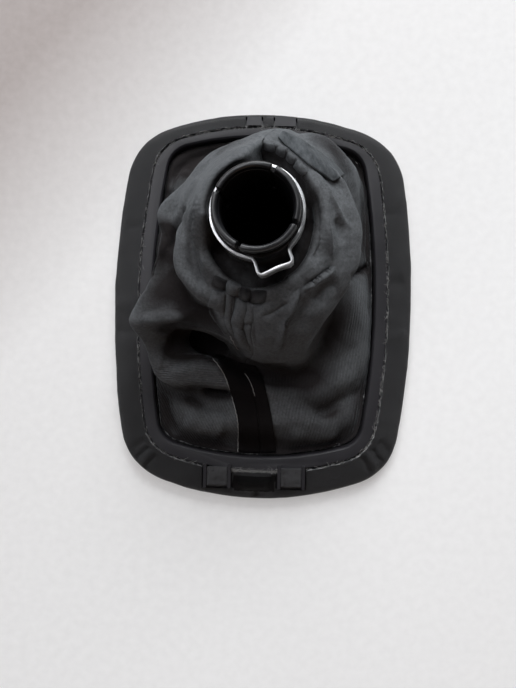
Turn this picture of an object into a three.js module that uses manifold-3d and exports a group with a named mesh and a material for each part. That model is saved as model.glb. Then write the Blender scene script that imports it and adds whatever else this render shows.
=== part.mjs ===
// Gear lever gaiter, lying inside out: the covered front face of its bezel is on the table,
// the moulded back of the bezel faces up, and the boot stands up through the opening with its
// textile backing outside, pushed down into folds round the lever collar.
// Millimetres. +Z up, +Y to the rear seam, +X to the right, origin under the middle of the bezel.

import * as THREE from 'three';
import { mergeVertices } from 'three/addons/utils/BufferGeometryUtils.js';
import Module from 'manifold-3d';

const wasm = await Module();
wasm.setup();

// Driving sizes
const CLEARANCE = 0.3;          // left between any two pieces that touch in the real thing

const BEZEL_HALF_WIDTH = 57.8;  // outside of the leather, measured on the photo
const BEZEL_HALF_LENGTH = 75;
const SIDE_RADIUS = 312;        // of the long bowed sides
const END_RADIUS = 112;         // of the bowed rear and front
const CORNER_RADIUS = 24;
const SIDE_BAND = 9.8;          // outside edge to cut edge of the leather, at the sides
const REAR_BAND = 6;
const FRONT_BAND = 11;
const CUT_CORNER_RADIUS = 16;
const SIDE_RING = 14.8;         // outside edge to the opening, at the sides
const REAR_RING = 9.6;
const FRONT_RING = 16.6;
const OPENING_CORNER_RADIUS = 10;

const SKIN = 1.1;               // leather with its textile backing
const NECK_SKIN = 0.8;          // the same, pressed together under the clamp
const ALLOWANCE = 0.9;          // extra thickness where a seam allowance is folded back
const BAND_TOP = 8;             // top of the moulded band
const REBATE_TOP = 6.5;         // top of the ledge the leather is stuck to
const SHOULDER = 5.8;           // height of the moulding halfway out to its edge
const EDGE_TOP = 4.4;           // top of the moulding's rounded outer edge
const CHAMFER = 0.6;            // at the top of the opening

const COLLAR_TOP = 70;
const COLLAR_X = -3.3;
const COLLAR_Y = 24.3;
const COLLAR_TILT = 4;          // degrees, the rim leans to the left
const COLLAR_LENGTH = 30;
const BORE_RADIUS = 11.15;
const BORE_STEP = 0.35;         // the bore is this much tighter below the rim
const RIM_RADIUS = 12.95;
const RIM_HEIGHT = 4.5;
const GROOVE_RADIUS = 12;
const SLOT_WIDTH = 1.4;
const SLOT_DEPTH = 19;
const SLOT_ANGLES = [-21, 67, 158, -113];

const CLAMP_TOP = 6.2;          // below the rim of the collar
const CLAMP_HEIGHT = 7;
const CLAMP_BAND = 0.9;

const ROLL_BELOW_RIM = 15;      // the roll of cloth round the neck, below the collar's rim
const ROLL_REACH_X = 5.9;       // from the neck out to the top of the roll
const ROLL_REACH_Y = 9.8;
const ROLL_SHIFT = 1.1;         // the roll lies this far to the right of the rim's middle
const BROW_OUT_X = 3.4;         // where the folds begin, outside the top of the roll and below it
const BROW_OUT_Y = 2.75;
const BROW_DROP = 1;
const FOOT_ROOM_SIDE = 1.75;    // from the foot of the folds to the wall of the opening
const FOOT_ROOM_REAR = 1.9;
const FOOT_ROOM_FRONT = 5.4;

const TAB_CENTRES = [-16, 12.5];
const TAB_WIDTH = 10.6;
const TAB_ROOT = 2.8;           // how far the tabs start inside the cut edge
const TAB_LENGTH = 9;
const TAB_TOP = 9.4;
const TAB_RIB = 1.2;
const TAB_SLIT = 1.1;           // between a rib and the catch block
const LUGS = [[-5.2, 5.6], [6.8, 8]];   // centre and width of the two low rear lugs
const LUG_GAP = 0.6;            // from the cut edge out to a lug
const LUG_LENGTH = 3.3;
const NOTCH_ROOM = 0.6;         // between the leather and what comes up through it

// Sizes that follow from these
const HALF_SKIN = SKIN / 2;
const NECK_MID_RADIUS = GROOVE_RADIUS + CLEARANCE + NECK_SKIN / 2;
const CLAMP_INNER_RADIUS = NECK_MID_RADIUS + NECK_SKIN / 2 + CLEARANCE;
const CLAMP_MID_RADIUS = CLAMP_INNER_RADIUS + CLAMP_BAND / 2;
const SEAT = SKIN + CLEARANCE;  // the moulding stands this far inside the leather's outside
const OPENING_HALF_WIDTH = BEZEL_HALF_WIDTH - SIDE_RING;
const OPENING_REAR = BEZEL_HALF_LENGTH - REAR_RING;
const OPENING_FRONT = BEZEL_HALF_LENGTH - FRONT_RING;
const CREST_Z = COLLAR_TOP - ROLL_BELOW_RIM;
const CREST_X = COLLAR_X + ROLL_SHIFT;
const CREST_Y = COLLAR_Y;
const CREST_HALF_WIDTH = NECK_MID_RADIUS + ROLL_REACH_X;
const CREST_HALF_LENGTH = NECK_MID_RADIUS + ROLL_REACH_Y;
const TAB_INNER_Y = FRONT_BAND - BEZEL_HALF_LENGTH + TAB_ROOT;
const LUG_INNER_Y = BEZEL_HALF_LENGTH - REAR_BAND + LUG_GAP;
const TAB_FOOT = REBATE_TOP - 2.2;      // tabs and lugs are rooted in the moulding here

// Materials
const plastic = new THREE.MeshStandardMaterial({ color: 0x2f2f35, roughness: 0.5, metalness: 0 });
const leather = new THREE.MeshStandardMaterial({ color: 0x35363a, roughness: 0.75, metalness: 0 });
const gloss = new THREE.MeshStandardMaterial({ color: 0x121214, roughness: 0.25, metalness: 0 });
const steel = new THREE.MeshStandardMaterial({ color: 0xc2c5c8, roughness: 0.3, metalness: 1 });

// Outline of the bezel.
// Each half contour runs from the rear middle down the left side to the front middle. It is made
// of five arcs: rear, corner, side, corner, front. All contours use the same steps along their
// arcs, so the same step on two contours lies on one line across the band.
const STRIP = 0.2;              // part of an end arc that a seam allowance covers
const END_STEPS = [0, 0.1, STRIP, STRIP + 0.02, 0.45, 0.72];
const CORNER_STEPS = [0, 0.2, 0.4, 0.6, 0.8];
const SIDE_STEPS = [0, 0.1, 0.2, 0.3, 0.4, 0.5, 0.6, 0.7, 0.8, 0.9];

function arcPoints(centre, from, to, steps) {
  const start = Math.atan2(from.y - centre.y, from.x - centre.x);
  let sweep = Math.atan2(to.y - centre.y, to.x - centre.x) - start;
  if (sweep < -Math.PI) sweep += 2 * Math.PI;
  if (sweep > Math.PI) sweep -= 2 * Math.PI;
  const radius = from.distanceTo(centre);
  return steps.map((step) => {
    const angle = start + sweep * step;
    return new THREE.Vector2(centre.x + radius * Math.cos(angle), centre.y + radius * Math.sin(angle));
  });
}

// The corner arc that touches the side arc and one end arc from inside.
function cornerArc(sideCentre, endCentre, sideRadius, endRadius, radius, target) {
  const toSide = sideRadius - radius;
  const toEnd = endRadius - radius;
  const line = endCentre.clone().sub(sideCentre);
  const length = line.length();
  const along = (toSide ** 2 - toEnd ** 2 + length ** 2) / (2 * length);
  const across = Math.sqrt(toSide ** 2 - along ** 2);
  const unit = line.clone().normalize();
  const foot = sideCentre.clone().addScaledVector(unit, along);
  const normal = new THREE.Vector2(-unit.y, unit.x);
  const one = foot.clone().addScaledVector(normal, across);
  const two = foot.clone().addScaledVector(normal, -across);
  const centre = one.distanceTo(target) < two.distanceTo(target) ? one : two;
  const touchEnd = endCentre.clone().addScaledVector(centre.clone().sub(endCentre).normalize(), endRadius);
  const touchSide = sideCentre.clone().addScaledVector(centre.clone().sub(sideCentre).normalize(), sideRadius);
  return { centre, touchEnd, touchSide };
}

function halfContour(halfWidth, rear, front, sideRadius, endRadius, cornerRadius) {
  const side = new THREE.Vector2(sideRadius - halfWidth, 0);
  const rearEnd = new THREE.Vector2(0, rear - endRadius);
  const frontEnd = new THREE.Vector2(0, endRadius - front);
  const rearAim = new THREE.Vector2(-halfWidth, rear);
  const frontAim = new THREE.Vector2(-halfWidth, -front);
  const top = cornerArc(side, rearEnd, sideRadius, endRadius, cornerRadius, rearAim);
  const low = cornerArc(side, frontEnd, sideRadius, endRadius, cornerRadius, frontAim);
  const lastSteps = END_STEPS.map((step) => 1 - step).reverse();
  return [
    ...arcPoints(rearEnd, new THREE.Vector2(0, rear), top.touchEnd, END_STEPS),
    ...arcPoints(top.centre, top.touchEnd, top.touchSide, CORNER_STEPS),
    ...arcPoints(side, top.touchSide, low.touchSide, SIDE_STEPS),
    ...arcPoints(low.centre, low.touchSide, low.touchEnd, CORNER_STEPS),
    ...arcPoints(frontEnd, low.touchEnd, new THREE.Vector2(0, -front), [0, ...lastSteps]),
  ];
}

// The whole contour, rear middle round the left side and back; the last point is not repeated.
function fullContour(half) {
  const mirrored = half.slice(1, -1).reverse().map((p) => new THREE.Vector2(-p.x, p.y));
  return [...half, ...mirrored];
}

function bezelContour(sideInset, rearInset, frontInset, endRadius, cornerRadius) {
  return fullContour(halfContour(
    BEZEL_HALF_WIDTH - sideInset,
    BEZEL_HALF_LENGTH - rearInset,
    BEZEL_HALF_LENGTH - frontInset,
    SIDE_RADIUS - sideInset,
    endRadius,
    cornerRadius,
  ));
}

const OUTER = bezelContour(0, 0, 0, END_RADIUS, CORNER_RADIUS);
const CUT = bezelContour(SIDE_BAND, REAR_BAND, FRONT_BAND, END_RADIUS, CUT_CORNER_RADIUS);
const OPENING = bezelContour(
  SIDE_RING,
  REAR_RING,
  FRONT_RING,
  END_RADIUS + 6,
  OPENING_CORNER_RADIUS,
);
const COLUMNS = OUTER.length;
const HALF_COLUMNS = COLUMNS / 2;

// Depth from the outside edge to the cut edge and to the opening, on one column.
function bandDepths(column) {
  const cut = OUTER[column].distanceTo(CUT[column]);
  return { cut, opening: cut + CUT[column].distanceTo(OPENING[column]) };
}

// The place at a depth in from the outside edge; it runs on past the opening.
function acrossBand(column, depth) {
  const { cut } = bandDepths(column);
  const [start, end, rest] = depth <= cut
    ? [OUTER[column], CUT[column], depth]
    : [CUT[column], OPENING[column], depth - cut];
  return start.clone().addScaledVector(end.clone().sub(start).normalize(), rest);
}

// Helpers for closed bodies
function meshFrom(name, geometry, material) {
  const mesh = new THREE.Mesh(geometry, material);
  mesh.name = name;
  return mesh;
}

function geometryFrom(points, triangles) {
  const geometry = new THREE.BufferGeometry();
  const flat = points.flatMap((p) => [p.x, p.y, p.z]);
  geometry.setAttribute('position', new THREE.Float32BufferAttribute(flat, 3));
  geometry.setIndex(triangles);
  geometry.computeVertexNormals();
  return geometry;
}

function toManifold(geometry) {
  let bare = geometry.clone();
  bare.deleteAttribute('normal');
  bare.deleteAttribute('uv');
  bare = mergeVertices(bare, 1e-4);
  return new wasm.Manifold(new wasm.Mesh({
    numProp: 3,
    vertProperties: new Float32Array(bare.attributes.position.array),
    triVerts: new Uint32Array(bare.index.array),
  }));
}

function fromManifold(solid) {
  const mesh = solid.getMesh();
  const geometry = new THREE.BufferGeometry();
  geometry.setAttribute('position', new THREE.Float32BufferAttribute(mesh.vertProperties, 3));
  geometry.setIndex(Array.from(mesh.triVerts));
  geometry.computeVertexNormals();
  return geometry;
}

function box(x0, x1, y0, y1, z0, z1) {
  const geometry = new THREE.BoxGeometry(x1 - x0, y1 - y0, z1 - z0);
  geometry.translate((x0 + x1) / 2, (y0 + y1) / 2, (z0 + z1) / 2);
  return geometry;
}

// Moulded bezel
// The faces of the moulding that the skin is wrapped over, as depth and height, from the wall of
// the opening down under the floor, round the outer edge and back up to the cut edge.
function wrappedFaces({ cut, opening }) {
  return [
    [opening, SEAT + 2.2],
    [opening, SEAT + 1.2],
    [opening - 1.2, SEAT],
    [SEAT + 3.6, SEAT],
    [SEAT + 2.3, SEAT + 0.1],
    [SEAT + 0.9, SEAT + 0.6],
    [SEAT + 0.1, SEAT + 1.8],
    [SEAT + 0.1, EDGE_TOP],
    [SEAT + 0.8, EDGE_TOP + 0.6],
    [cut / 2, SHOULDER],
    [cut - CLEARANCE, REBATE_TOP],
  ];
}

function mouldingSection(depths) {
  const { cut, opening } = depths;
  return [
    ...wrappedFaces(depths),
    [cut + CLEARANCE, REBATE_TOP],
    [cut + 0.5, BAND_TOP],
    [opening - CHAMFER, BAND_TOP],
    [opening, BAND_TOP - CHAMFER],
  ];
}

function mouldedRing() {
  const points = [];
  const triangles = [];
  const rows = mouldingSection(bandDepths(0)).length;
  for (let column = 0; column < COLUMNS; column += 1) {
    for (const [depth, z] of mouldingSection(bandDepths(column))) {
      const p = acrossBand(column, depth);
      points.push(new THREE.Vector3(p.x, p.y, z));
    }
  }
  for (let column = 0; column < COLUMNS; column += 1) {
    const next = (column + 1) % COLUMNS;
    for (let row = 0; row < rows; row += 1) {
      const up = (row + 1) % rows;
      const a = column * rows + row;
      const b = next * rows + row;
      const c = next * rows + up;
      const d = column * rows + up;
      triangles.push(a, b, d, b, c, d);
    }
  }
  return geometryFrom(points, triangles);
}

// One snap tab: two ribs joined by a bar at the outer end, with a catch block between them.
function snapTab(centre) {
  const left = centre - TAB_WIDTH / 2;
  const right = centre + TAB_WIDTH / 2;
  const outer = TAB_INNER_Y - TAB_LENGTH;
  const root = TAB_FOOT;
  const catchBlock = new THREE.Shape([
    new THREE.Vector2(TAB_INNER_Y - 2.4, root),
    new THREE.Vector2(TAB_INNER_Y - 2.4, TAB_TOP - 0.4),
    new THREE.Vector2(TAB_INNER_Y - 4.4, TAB_TOP - 0.6),
    new THREE.Vector2(outer + 0.2, REBATE_TOP + 0.2),
    new THREE.Vector2(outer + 0.2, root),
  ]);
  const blockWidth = TAB_WIDTH - 2 * (TAB_RIB + TAB_SLIT);
  const block = new THREE.ExtrudeGeometry(catchBlock, { depth: blockWidth, bevelEnabled: false });
  const turn = new THREE.Matrix4().makeBasis(
    new THREE.Vector3(0, 1, 0),
    new THREE.Vector3(0, 0, 1),
    new THREE.Vector3(1, 0, 0),
  );
  block.applyMatrix4(turn);
  block.translate(centre - blockWidth / 2, 0, 0);
  return [
    box(left, left + TAB_RIB, outer, TAB_INNER_Y, root, TAB_TOP),
    box(right - TAB_RIB, right, outer, TAB_INNER_Y, root, TAB_TOP),
    box(left, right, outer, outer + TAB_RIB, root, REBATE_TOP + 1),
    block,
  ];
}

function rearLug(centre, width) {
  return box(
    centre - width / 2,
    centre + width / 2,
    LUG_INNER_Y,
    LUG_INNER_Y + LUG_LENGTH,
    TAB_FOOT,
    BAND_TOP - 0.2,
  );
}

function bezelFrame() {
  let solid = toManifold(mouldedRing());
  for (const centre of TAB_CENTRES) {
    for (const piece of snapTab(centre)) {
      solid = solid.add(toManifold(piece));
    }
  }
  for (const [centre, width] of LUGS) {
    solid = solid.add(toManifold(rearLug(centre, width)));
  }
  return meshFrom('bezel_frame', fromManifold(solid), plastic);
}

// Collar
// Points on and round the tilted collar: radius, angle in degrees, height up from its rim.
function onCollar(radius, degrees, height) {
  const angle = THREE.MathUtils.degToRad(degrees);
  const p = new THREE.Vector3(radius * Math.cos(angle), radius * Math.sin(angle), height);
  return p.applyMatrix4(collarPlace());
}

function collarPlace() {
  const turn = new THREE.Matrix4().makeRotationY(-THREE.MathUtils.degToRad(COLLAR_TILT));
  const move = new THREE.Matrix4().makeTranslation(COLLAR_X, COLLAR_Y, COLLAR_TOP);
  return move.multiply(turn);
}

function collar() {
  const profile = [
    [BORE_RADIUS - BORE_STEP, -COLLAR_LENGTH],
    [GROOVE_RADIUS + 0.4, -COLLAR_LENGTH],
    [GROOVE_RADIUS + 0.6, -COLLAR_LENGTH + 0.8],
    [GROOVE_RADIUS, -COLLAR_LENGTH + 3],
    [GROOVE_RADIUS, -RIM_HEIGHT],
    [RIM_RADIUS - 0.3, -RIM_HEIGHT],
    [RIM_RADIUS, -RIM_HEIGHT + 0.4],
    [RIM_RADIUS, -0.5],
    [RIM_RADIUS - 0.4, 0],
    [BORE_RADIUS + 0.5, 0],
    [BORE_RADIUS, -0.5],
    [BORE_RADIUS, -2],
    [BORE_RADIUS - BORE_STEP, -2.4],
    [BORE_RADIUS - BORE_STEP, -COLLAR_LENGTH],
  ].map(([radius, height]) => new THREE.Vector2(radius, height));
  const lathe = new THREE.LatheGeometry(profile, 48);
  lathe.rotateX(Math.PI / 2);
  let solid = toManifold(lathe);
  for (const degrees of SLOT_ANGLES) {
    const slot = box(BORE_RADIUS - 2, RIM_RADIUS + 2, -SLOT_WIDTH / 2, SLOT_WIDTH / 2, -SLOT_DEPTH, 2);
    slot.rotateZ(THREE.MathUtils.degToRad(degrees));
    solid = solid.subtract(toManifold(slot));
  }
  const geometry = fromManifold(solid);
  geometry.applyMatrix4(collarPlace());
  return meshFrom('collar', geometry, gloss);
}

// Ear clamp
// Middle line of the band: once round the neck, then out and back over the pinched ear. The ear
// is given as angle in degrees and distance out from the band.
const EAR = [
  [-94.6, 0.1],
  [-91.5, 0.9],
  [-89.4, 2.6],
  [-88, 4.1],
  [-85.8, 4.9],
  [-82.5, 4.8],
  [-76, 4.2],
  [-69.5, 3.75],
  [-62.5, 3.9],
  [-57, 4.3],
  [-53.8, 4.2],
  [-51.8, 3.3],
  [-50.5, 1.9],
  [-48.6, 0.7],
  [-45.5, 0.1],
];

function clampLine() {
  const line = [];
  const start = EAR[EAR.length - 1][0] + 4;
  const end = EAR[0][0] + 356;
  const steps = 44;
  for (let step = 0; step <= steps; step += 1) {
    const angle = THREE.MathUtils.degToRad(start + ((end - start) * step) / steps);
    line.push(new THREE.Vector2(CLAMP_MID_RADIUS * Math.cos(angle), CLAMP_MID_RADIUS * Math.sin(angle)));
  }
  for (const [degrees, out] of EAR) {
    const angle = THREE.MathUtils.degToRad(degrees);
    const radius = CLAMP_MID_RADIUS + out;
    line.push(new THREE.Vector2(radius * Math.cos(angle), radius * Math.sin(angle)));
  }
  return line;
}

function offsetLoop(line, distance) {
  return line.map((p, i) => {
    const before = line[(i + line.length - 1) % line.length];
    const after = line[(i + 1) % line.length];
    const a = p.clone().sub(before).normalize();
    const b = after.clone().sub(p).normalize();
    const along = a.clone().add(b).normalize();
    const reach = distance / Math.max(0.6, along.dot(a));
    return new THREE.Vector2(p.x + along.y * reach, p.y - along.x * reach);
  });
}

function earClamp() {
  const line = clampLine();
  const shape = new THREE.Shape(offsetLoop(line, CLAMP_BAND / 2));
  shape.holes.push(new THREE.Path(offsetLoop(line, -CLAMP_BAND / 2)));
  const band = new THREE.ExtrudeGeometry(shape, { depth: CLAMP_HEIGHT, bevelEnabled: false });
  band.translate(0, 0, -CLAMP_TOP - CLAMP_HEIGHT);
  band.applyMatrix4(collarPlace());
  const geometry = fromManifold(toManifold(band));
  return meshFrom('ear_clamp', geometry, steel);
}

// Boot
// Folds of the boot at twenty places round it, starting at the rear seam and going round by the
// left side. Each line follows the cloth from the roll at the neck down to just above the bezel.
const FOLDS = [
  [[-1, 49, 54], [1.5, 51.5, 52], [4, 53.5, 49], [3.5, 54, 43], [5.5, 57, 38], [6, 58, 32],
    [2.5, 57.5, 26], [4, 61, 19], [1, 60.5, 14], [1.5, 63.5, 10], [0.5, 63.5, 6.5]],
  [[-8.5, 47, 54], [-9, 48.5, 51], [-9.5, 49.5, 47], [-8.5, 49, 40], [-8.5, 49.5, 32], [-8.5, 51.5, 22],
    [-11, 55, 12], [-14, 59, 7], [-15.5, 60.5, 5], [-17, 61, 4.5], [-17.5, 62.5, 5]],
  [[-15, 43, 54], [-18, 43.5, 51], [-20, 44, 46], [-18.5, 43, 39], [-18.5, 43, 31], [-19.5, 44, 21],
    [-23, 47, 11], [-27.5, 52, 5], [-31, 54, 3.5], [-32.5, 55, 3.5], [-34.5, 56, 4.5]],
  [[-20, 38, 53], [-23, 37, 50], [-26, 37, 46], [-29, 35, 41], [-27, 33, 33], [-25.5, 33.5, 23],
    [-28.5, 37.5, 12], [-33.5, 41.5, 6.5], [-35.5, 42, 4.5], [-37, 41, 4], [-39, 40, 4]],
  [[-23, 30.5, 53], [-26.5, 28.5, 50], [-30, 28.5, 45], [-35, 27.5, 42], [-33.5, 24.5, 35],
    [-31.5, 23.5, 24], [-33.5, 24, 12], [-36.5, 24, 7], [-38, 23.5, 5.5], [-39.5, 22, 5], [-41, 21.5, 5]],
  [[-24.5, 24.5, 53], [-27, 20, 50], [-29.5, 18.5, 44], [-32, 19, 43], [-34.5, 17, 41],
    [-33.5, 12.5, 30], [-33.5, 10, 18], [-37.5, 7.5, 9], [-39, 5.5, 6.5], [-40, 4, 5.5], [-41.5, 3.5, 5]],
  [[-23.5, 15.5, 52], [-28.5, 10, 50], [-28, 9, 42], [-32.5, 8.5, 40], [-39.5, 2.5, 38], [-38.5, -4, 28],
    [-38.5, -8.5, 20], [-41, -11.5, 14], [-40, -13.5, 11], [-41, -14.5, 8], [-41, -15, 6]],
  [[-20.5, 7.5, 52], [-23.5, 2.5, 50], [-24, 1, 40], [-32, -1.5, 39], [-44, -8, 36], [-41, -15.5, 27],
    [-39.5, -23.5, 23], [-38, -27.5, 19], [-34.5, -30, 11], [-37.5, -32.5, 7.5], [-39.5, -33.5, 5]],
  [[-16, 2.5, 52], [-17.5, -1.5, 50], [-17.5, -3.5, 41], [-24.5, -4.5, 39], [-30, -6.5, 38],
    [-29.5, -12, 24], [-30.5, -20.5, 23], [-26.5, -28.5, 21], [-24.5, -32.5, 12], [-28, -40.5, 13],
    [-33.5, -48.5, 5.5]],
  [[-10, 0, 52], [-11.5, -4, 49], [-12.5, -8.5, 44], [-10.5, -13, 38], [-13.5, -13, 25],
    [-17.5, -16, 12], [-18, -21.5, 20], [-12, -29.5, 19], [-12, -33, 12], [-13, -42.5, 14],
    [-16.5, -52.5, 4.5]],
  [[-3, -1.5, 52], [-3.5, -6, 50], [-4, -11, 45], [-3, -15.5, 37], [-3.5, -19, 27], [-5.5, -20.5, 17],
    [-6.5, -24, 12], [-5.5, -29.5, 16], [-5, -35, 14], [-3, -44, 13], [-1, -54, 4.5]],
  [[5, -1, 53], [5.5, -6, 50], [6, -11.5, 45], [6, -16, 37], [6.5, -20, 27], [6.5, -22, 18],
    [7.5, -26, 13], [9.5, -31.5, 16], [11.5, -37, 15], [14.5, -44.5, 13], [17.5, -53, 4.5]],
  [[10.5, 2.5, 53], [11.5, -2.5, 50], [13, -9.5, 43], [13.5, -15.5, 34], [14, -18.5, 26],
    [15.5, -21, 19], [17.5, -24.5, 16], [21, -31, 17], [26, -38, 13], [28.5, -43, 12], [34, -49, 4.5]],
  [[15.5, 7.5, 53], [17.5, 3, 49], [20, -1.5, 45], [20.5, -5.5, 38], [19, -5, 30], [22, -8.5, 22],
    [26, -14.5, 20], [30.5, -20.5, 16], [34, -26, 13], [36.5, -30, 9], [39, -33, 4.5]],
  [[18.5, 15, 53], [21.5, 12, 50], [25, 9, 47], [28, 5.5, 42], [25.5, 6, 32], [26.5, 3.5, 25],
    [31, -1.5, 21], [35.5, -5.5, 15], [38.5, -10, 11], [39.5, -13, 9], [41, -14.5, 6]],
  [[19.5, 23, 54], [22.5, 20.5, 50], [26.5, 19, 48], [30.5, 18, 44], [28, 18.5, 33], [30, 16, 22],
    [34.5, 14, 15], [37.5, 10.5, 11], [39.5, 7, 8], [40.5, 4.5, 6], [41.5, 3.5, 4.5]],
  [[18.5, 31, 54], [22, 29.5, 51], [26, 27.5, 49], [30, 26.5, 45], [28, 27, 34], [30.5, 26.5, 22],
    [34.5, 26, 11], [37, 25, 7], [38.5, 24, 5.5], [39.5, 22.5, 4.5], [40.5, 21.5, 4.5]],
  [[15.5, 38, 54], [19, 36.5, 51], [22.5, 35.5, 49], [26.5, 34, 46], [24.5, 36, 36], [27.5, 37, 28],
    [32.5, 39, 18], [35.5, 40, 10], [37.5, 40, 6.5], [38.5, 40, 5], [39, 39.5, 4.5]],
  [[12.5, 42.5, 54], [15, 42, 53], [18.5, 41.5, 51], [22.5, 39.5, 48], [19, 44.5, 40], [22.5, 48, 33],
    [28, 50, 28], [31.5, 51.5, 19], [32.5, 54, 10], [33.5, 55.5, 5], [35, 57, 3.5]],
  [[6.5, 46, 54], [9, 47, 53], [12, 47, 52], [14, 46.5, 49], [11, 50, 41], [13.5, 54.5, 35],
    [18, 58, 30], [19.5, 58.5, 20], [17.5, 58.5, 14], [18.5, 60.5, 9], [18.5, 61.5, 6]],
];
const PLACES = FOLDS.length;
const FOLD_KNOTS = FOLDS[0].length;

// How far the first or last points of the folds above reach, so that the boot can follow the roll
// and the opening on a part of another size.
function reach(knot, axis) {
  const values = FOLDS.map((fold) => fold[knot][axis]);
  const low = Math.min(...values);
  const high = Math.max(...values);
  return { low, high, middle: (low + high) / 2, half: (high - low) / 2 };
}

const BROW = { x: reach(0, 0), y: reach(0, 1), z: reach(0, 2) };
const FOOT = { x: reach(FOLD_KNOTS - 1, 0), y: reach(FOLD_KNOTS - 1, 1) };

function fitted([x, y, z]) {
  const high = z / BROW.z.high;
  const lowX = (x * (OPENING_HALF_WIDTH - FOOT_ROOM_SIDE)) / FOOT.x.half;
  const lowY = y > 0
    ? (y * (OPENING_REAR - FOOT_ROOM_REAR)) / FOOT.y.high
    : (-y * (OPENING_FRONT - FOOT_ROOM_FRONT)) / FOOT.y.low;
  const topX = CREST_X + ((x - BROW.x.middle) * (CREST_HALF_WIDTH + BROW_OUT_X)) / BROW.x.half;
  const topY = CREST_Y + ((y - BROW.y.middle) * (CREST_HALF_LENGTH + BROW_OUT_Y)) / BROW.y.half;
  return new THREE.Vector3(
    lowX * (1 - high) + topX * high,
    lowY * (1 - high) + topY * high,
    (CREST_Z - BROW_DROP) * high,
  );
}

// Middle of the skin over the moulding: its wrapped faces moved out by the clearance and half
// the skin, with mitred corners. Each point has its way to the leather face, as long as half
// the skin is thick there.
function wrapSection(column) {
  const line = wrappedFaces(bandDepths(column));
  return line.map(([depth, z], i) => {
    const here = new THREE.Vector2(depth, z);
    const before = new THREE.Vector2(...line[Math.max(0, i - 1)]);
    const after = new THREE.Vector2(...line[Math.min(line.length - 1, i + 1)]);
    const arriving = i === 0 ? after.clone().sub(here) : here.clone().sub(before);
    const leaving = i === line.length - 1 ? here.clone().sub(before) : after.clone().sub(here);
    const along = arriving.normalize().add(leaving.normalize()).normalize();
    const out = new THREE.Vector2(-along.y, along.x).divideScalar(along.dot(leaving));
    return { place: here.addScaledVector(out, CLEARANCE + HALF_SKIN), out };
  });
}

function curvePoint(before, from, to, after, t) {
  const value = (a, b, c, d) => 0.5 * (2 * b + (c - a) * t + (2 * a - 5 * b + 4 * c - d) * t * t
    + (3 * b - a - 3 * c + d) * t * t * t);
  return new THREE.Vector3(
    value(before.x, from.x, to.x, after.x),
    value(before.y, from.y, to.y, after.y),
    value(before.z, from.z, to.z, after.z),
  );
}

// How far round the bezel each column lies, counted in places.
function columnPlaces() {
  const lengths = [0];
  for (let column = 1; column <= COLUMNS; column += 1) {
    const step = OPENING[column % COLUMNS].distanceTo(OPENING[column - 1]);
    lengths.push(lengths[column - 1] + step);
  }
  return lengths.map((length) => (PLACES * length) / lengths[COLUMNS]);
}

// Knots that are the same all round: the clamped neck, the hollow beside it and the roll.
function neckKnots(place) {
  const degrees = 90 + (360 * place) / PLACES;
  const angle = THREE.MathUtils.degToRad(degrees);
  const oval = (scale, z) => new THREE.Vector3(
    CREST_X + CREST_HALF_WIDTH * scale * Math.cos(angle),
    CREST_Y + CREST_HALF_LENGTH * scale * Math.sin(angle),
    z,
  );
  return [
    onCollar(NECK_MID_RADIUS, degrees, -RIM_HEIGHT - 0.8),
    onCollar(NECK_MID_RADIUS, degrees, -CLAMP_TOP - CLAMP_HEIGHT - 1),
    onCollar(NECK_MID_RADIUS + 1.5, degrees, -CLAMP_TOP - CLAMP_HEIGHT - 5.6),
    oval(0.87, CREST_Z - 3.6),
    oval(1, CREST_Z),
  ];
}

function foldKnot(place, knot) {
  const whole = Math.floor(place);
  const at = (offset) => fitted(FOLDS[(whole + offset + PLACES) % PLACES][knot]);
  return curvePoint(at(-1), at(0), at(1), at(2), place - whole);
}

// One line of the skin's middle surface, from the neck to the cut edge on the bezel's back.
function skinLine(column, place) {
  const knots = neckKnots(place);
  for (let knot = 0; knot < FOLD_KNOTS; knot += 1) {
    knots.push(foldKnot(place, knot));
  }
  const wrap = wrapSection(column).map(({ place: at }) => {
    const p = acrossBand(column, at.x);
    return new THREE.Vector3(p.x, p.y, at.y);
  });
  knots.push(wrap[0], wrap[1]);
  const line = [knots[0]];
  for (let k = 1; k < knots.length - 2; k += 1) {
    line.push(knots[k]);
    line.push(curvePoint(knots[k - 1], knots[k], knots[k + 1], knots[k + 2], 0.5));
  }
  return [...line, ...wrap];
}

function wrapFaces(column) {
  const inward = OPENING[column].clone().sub(OUTER[column]).normalize();
  return wrapSection(column).map(({ out }) => new THREE.Vector3(
    inward.x * out.x,
    inward.y * out.x,
    out.y,
  ));
}

// Middle surface and the way to its leather face, for every column all the way round.
function skinGrid() {
  const places = columnPlaces();
  const grid = [];
  for (let column = 0; column < COLUMNS; column += 1) {
    grid.push(skinLine(column, places[column]));
  }
  const rows = grid[0].length;
  const firstWrap = rows - wrapSection(0).length;
  const faces = grid.map((line, column) => {
    const wrap = wrapFaces(column);
    return line.map((p, row) => {
      if (row >= firstWrap) return wrap[row - firstWrap];
      const ahead = grid[(column + 1) % COLUMNS][row];
      const behind = grid[(column + COLUMNS - 1) % COLUMNS][row];
      const below = line[row + 1];
      const above = line[Math.max(0, row - 1)];
      return ahead.clone().sub(behind).cross(below.clone().sub(above)).normalize();
    });
  });
  return { grid, faces, rows, firstWrap };
}

// Half thickness on the textile side: thicker where a seam allowance lies folded back on it.
function backThickness(row, fromSeam, firstWrap) {
  const neckRows = 3;
  const base = row < neckRows ? NECK_SKIN / 2 : HALF_SKIN;
  const inStrip = fromSeam <= END_STEPS.indexOf(STRIP);
  const onBoot = row > neckRows + 3 && row < firstWrap - 1;
  return inStrip && onBoot ? base + ALLOWANCE : base;
}

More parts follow.
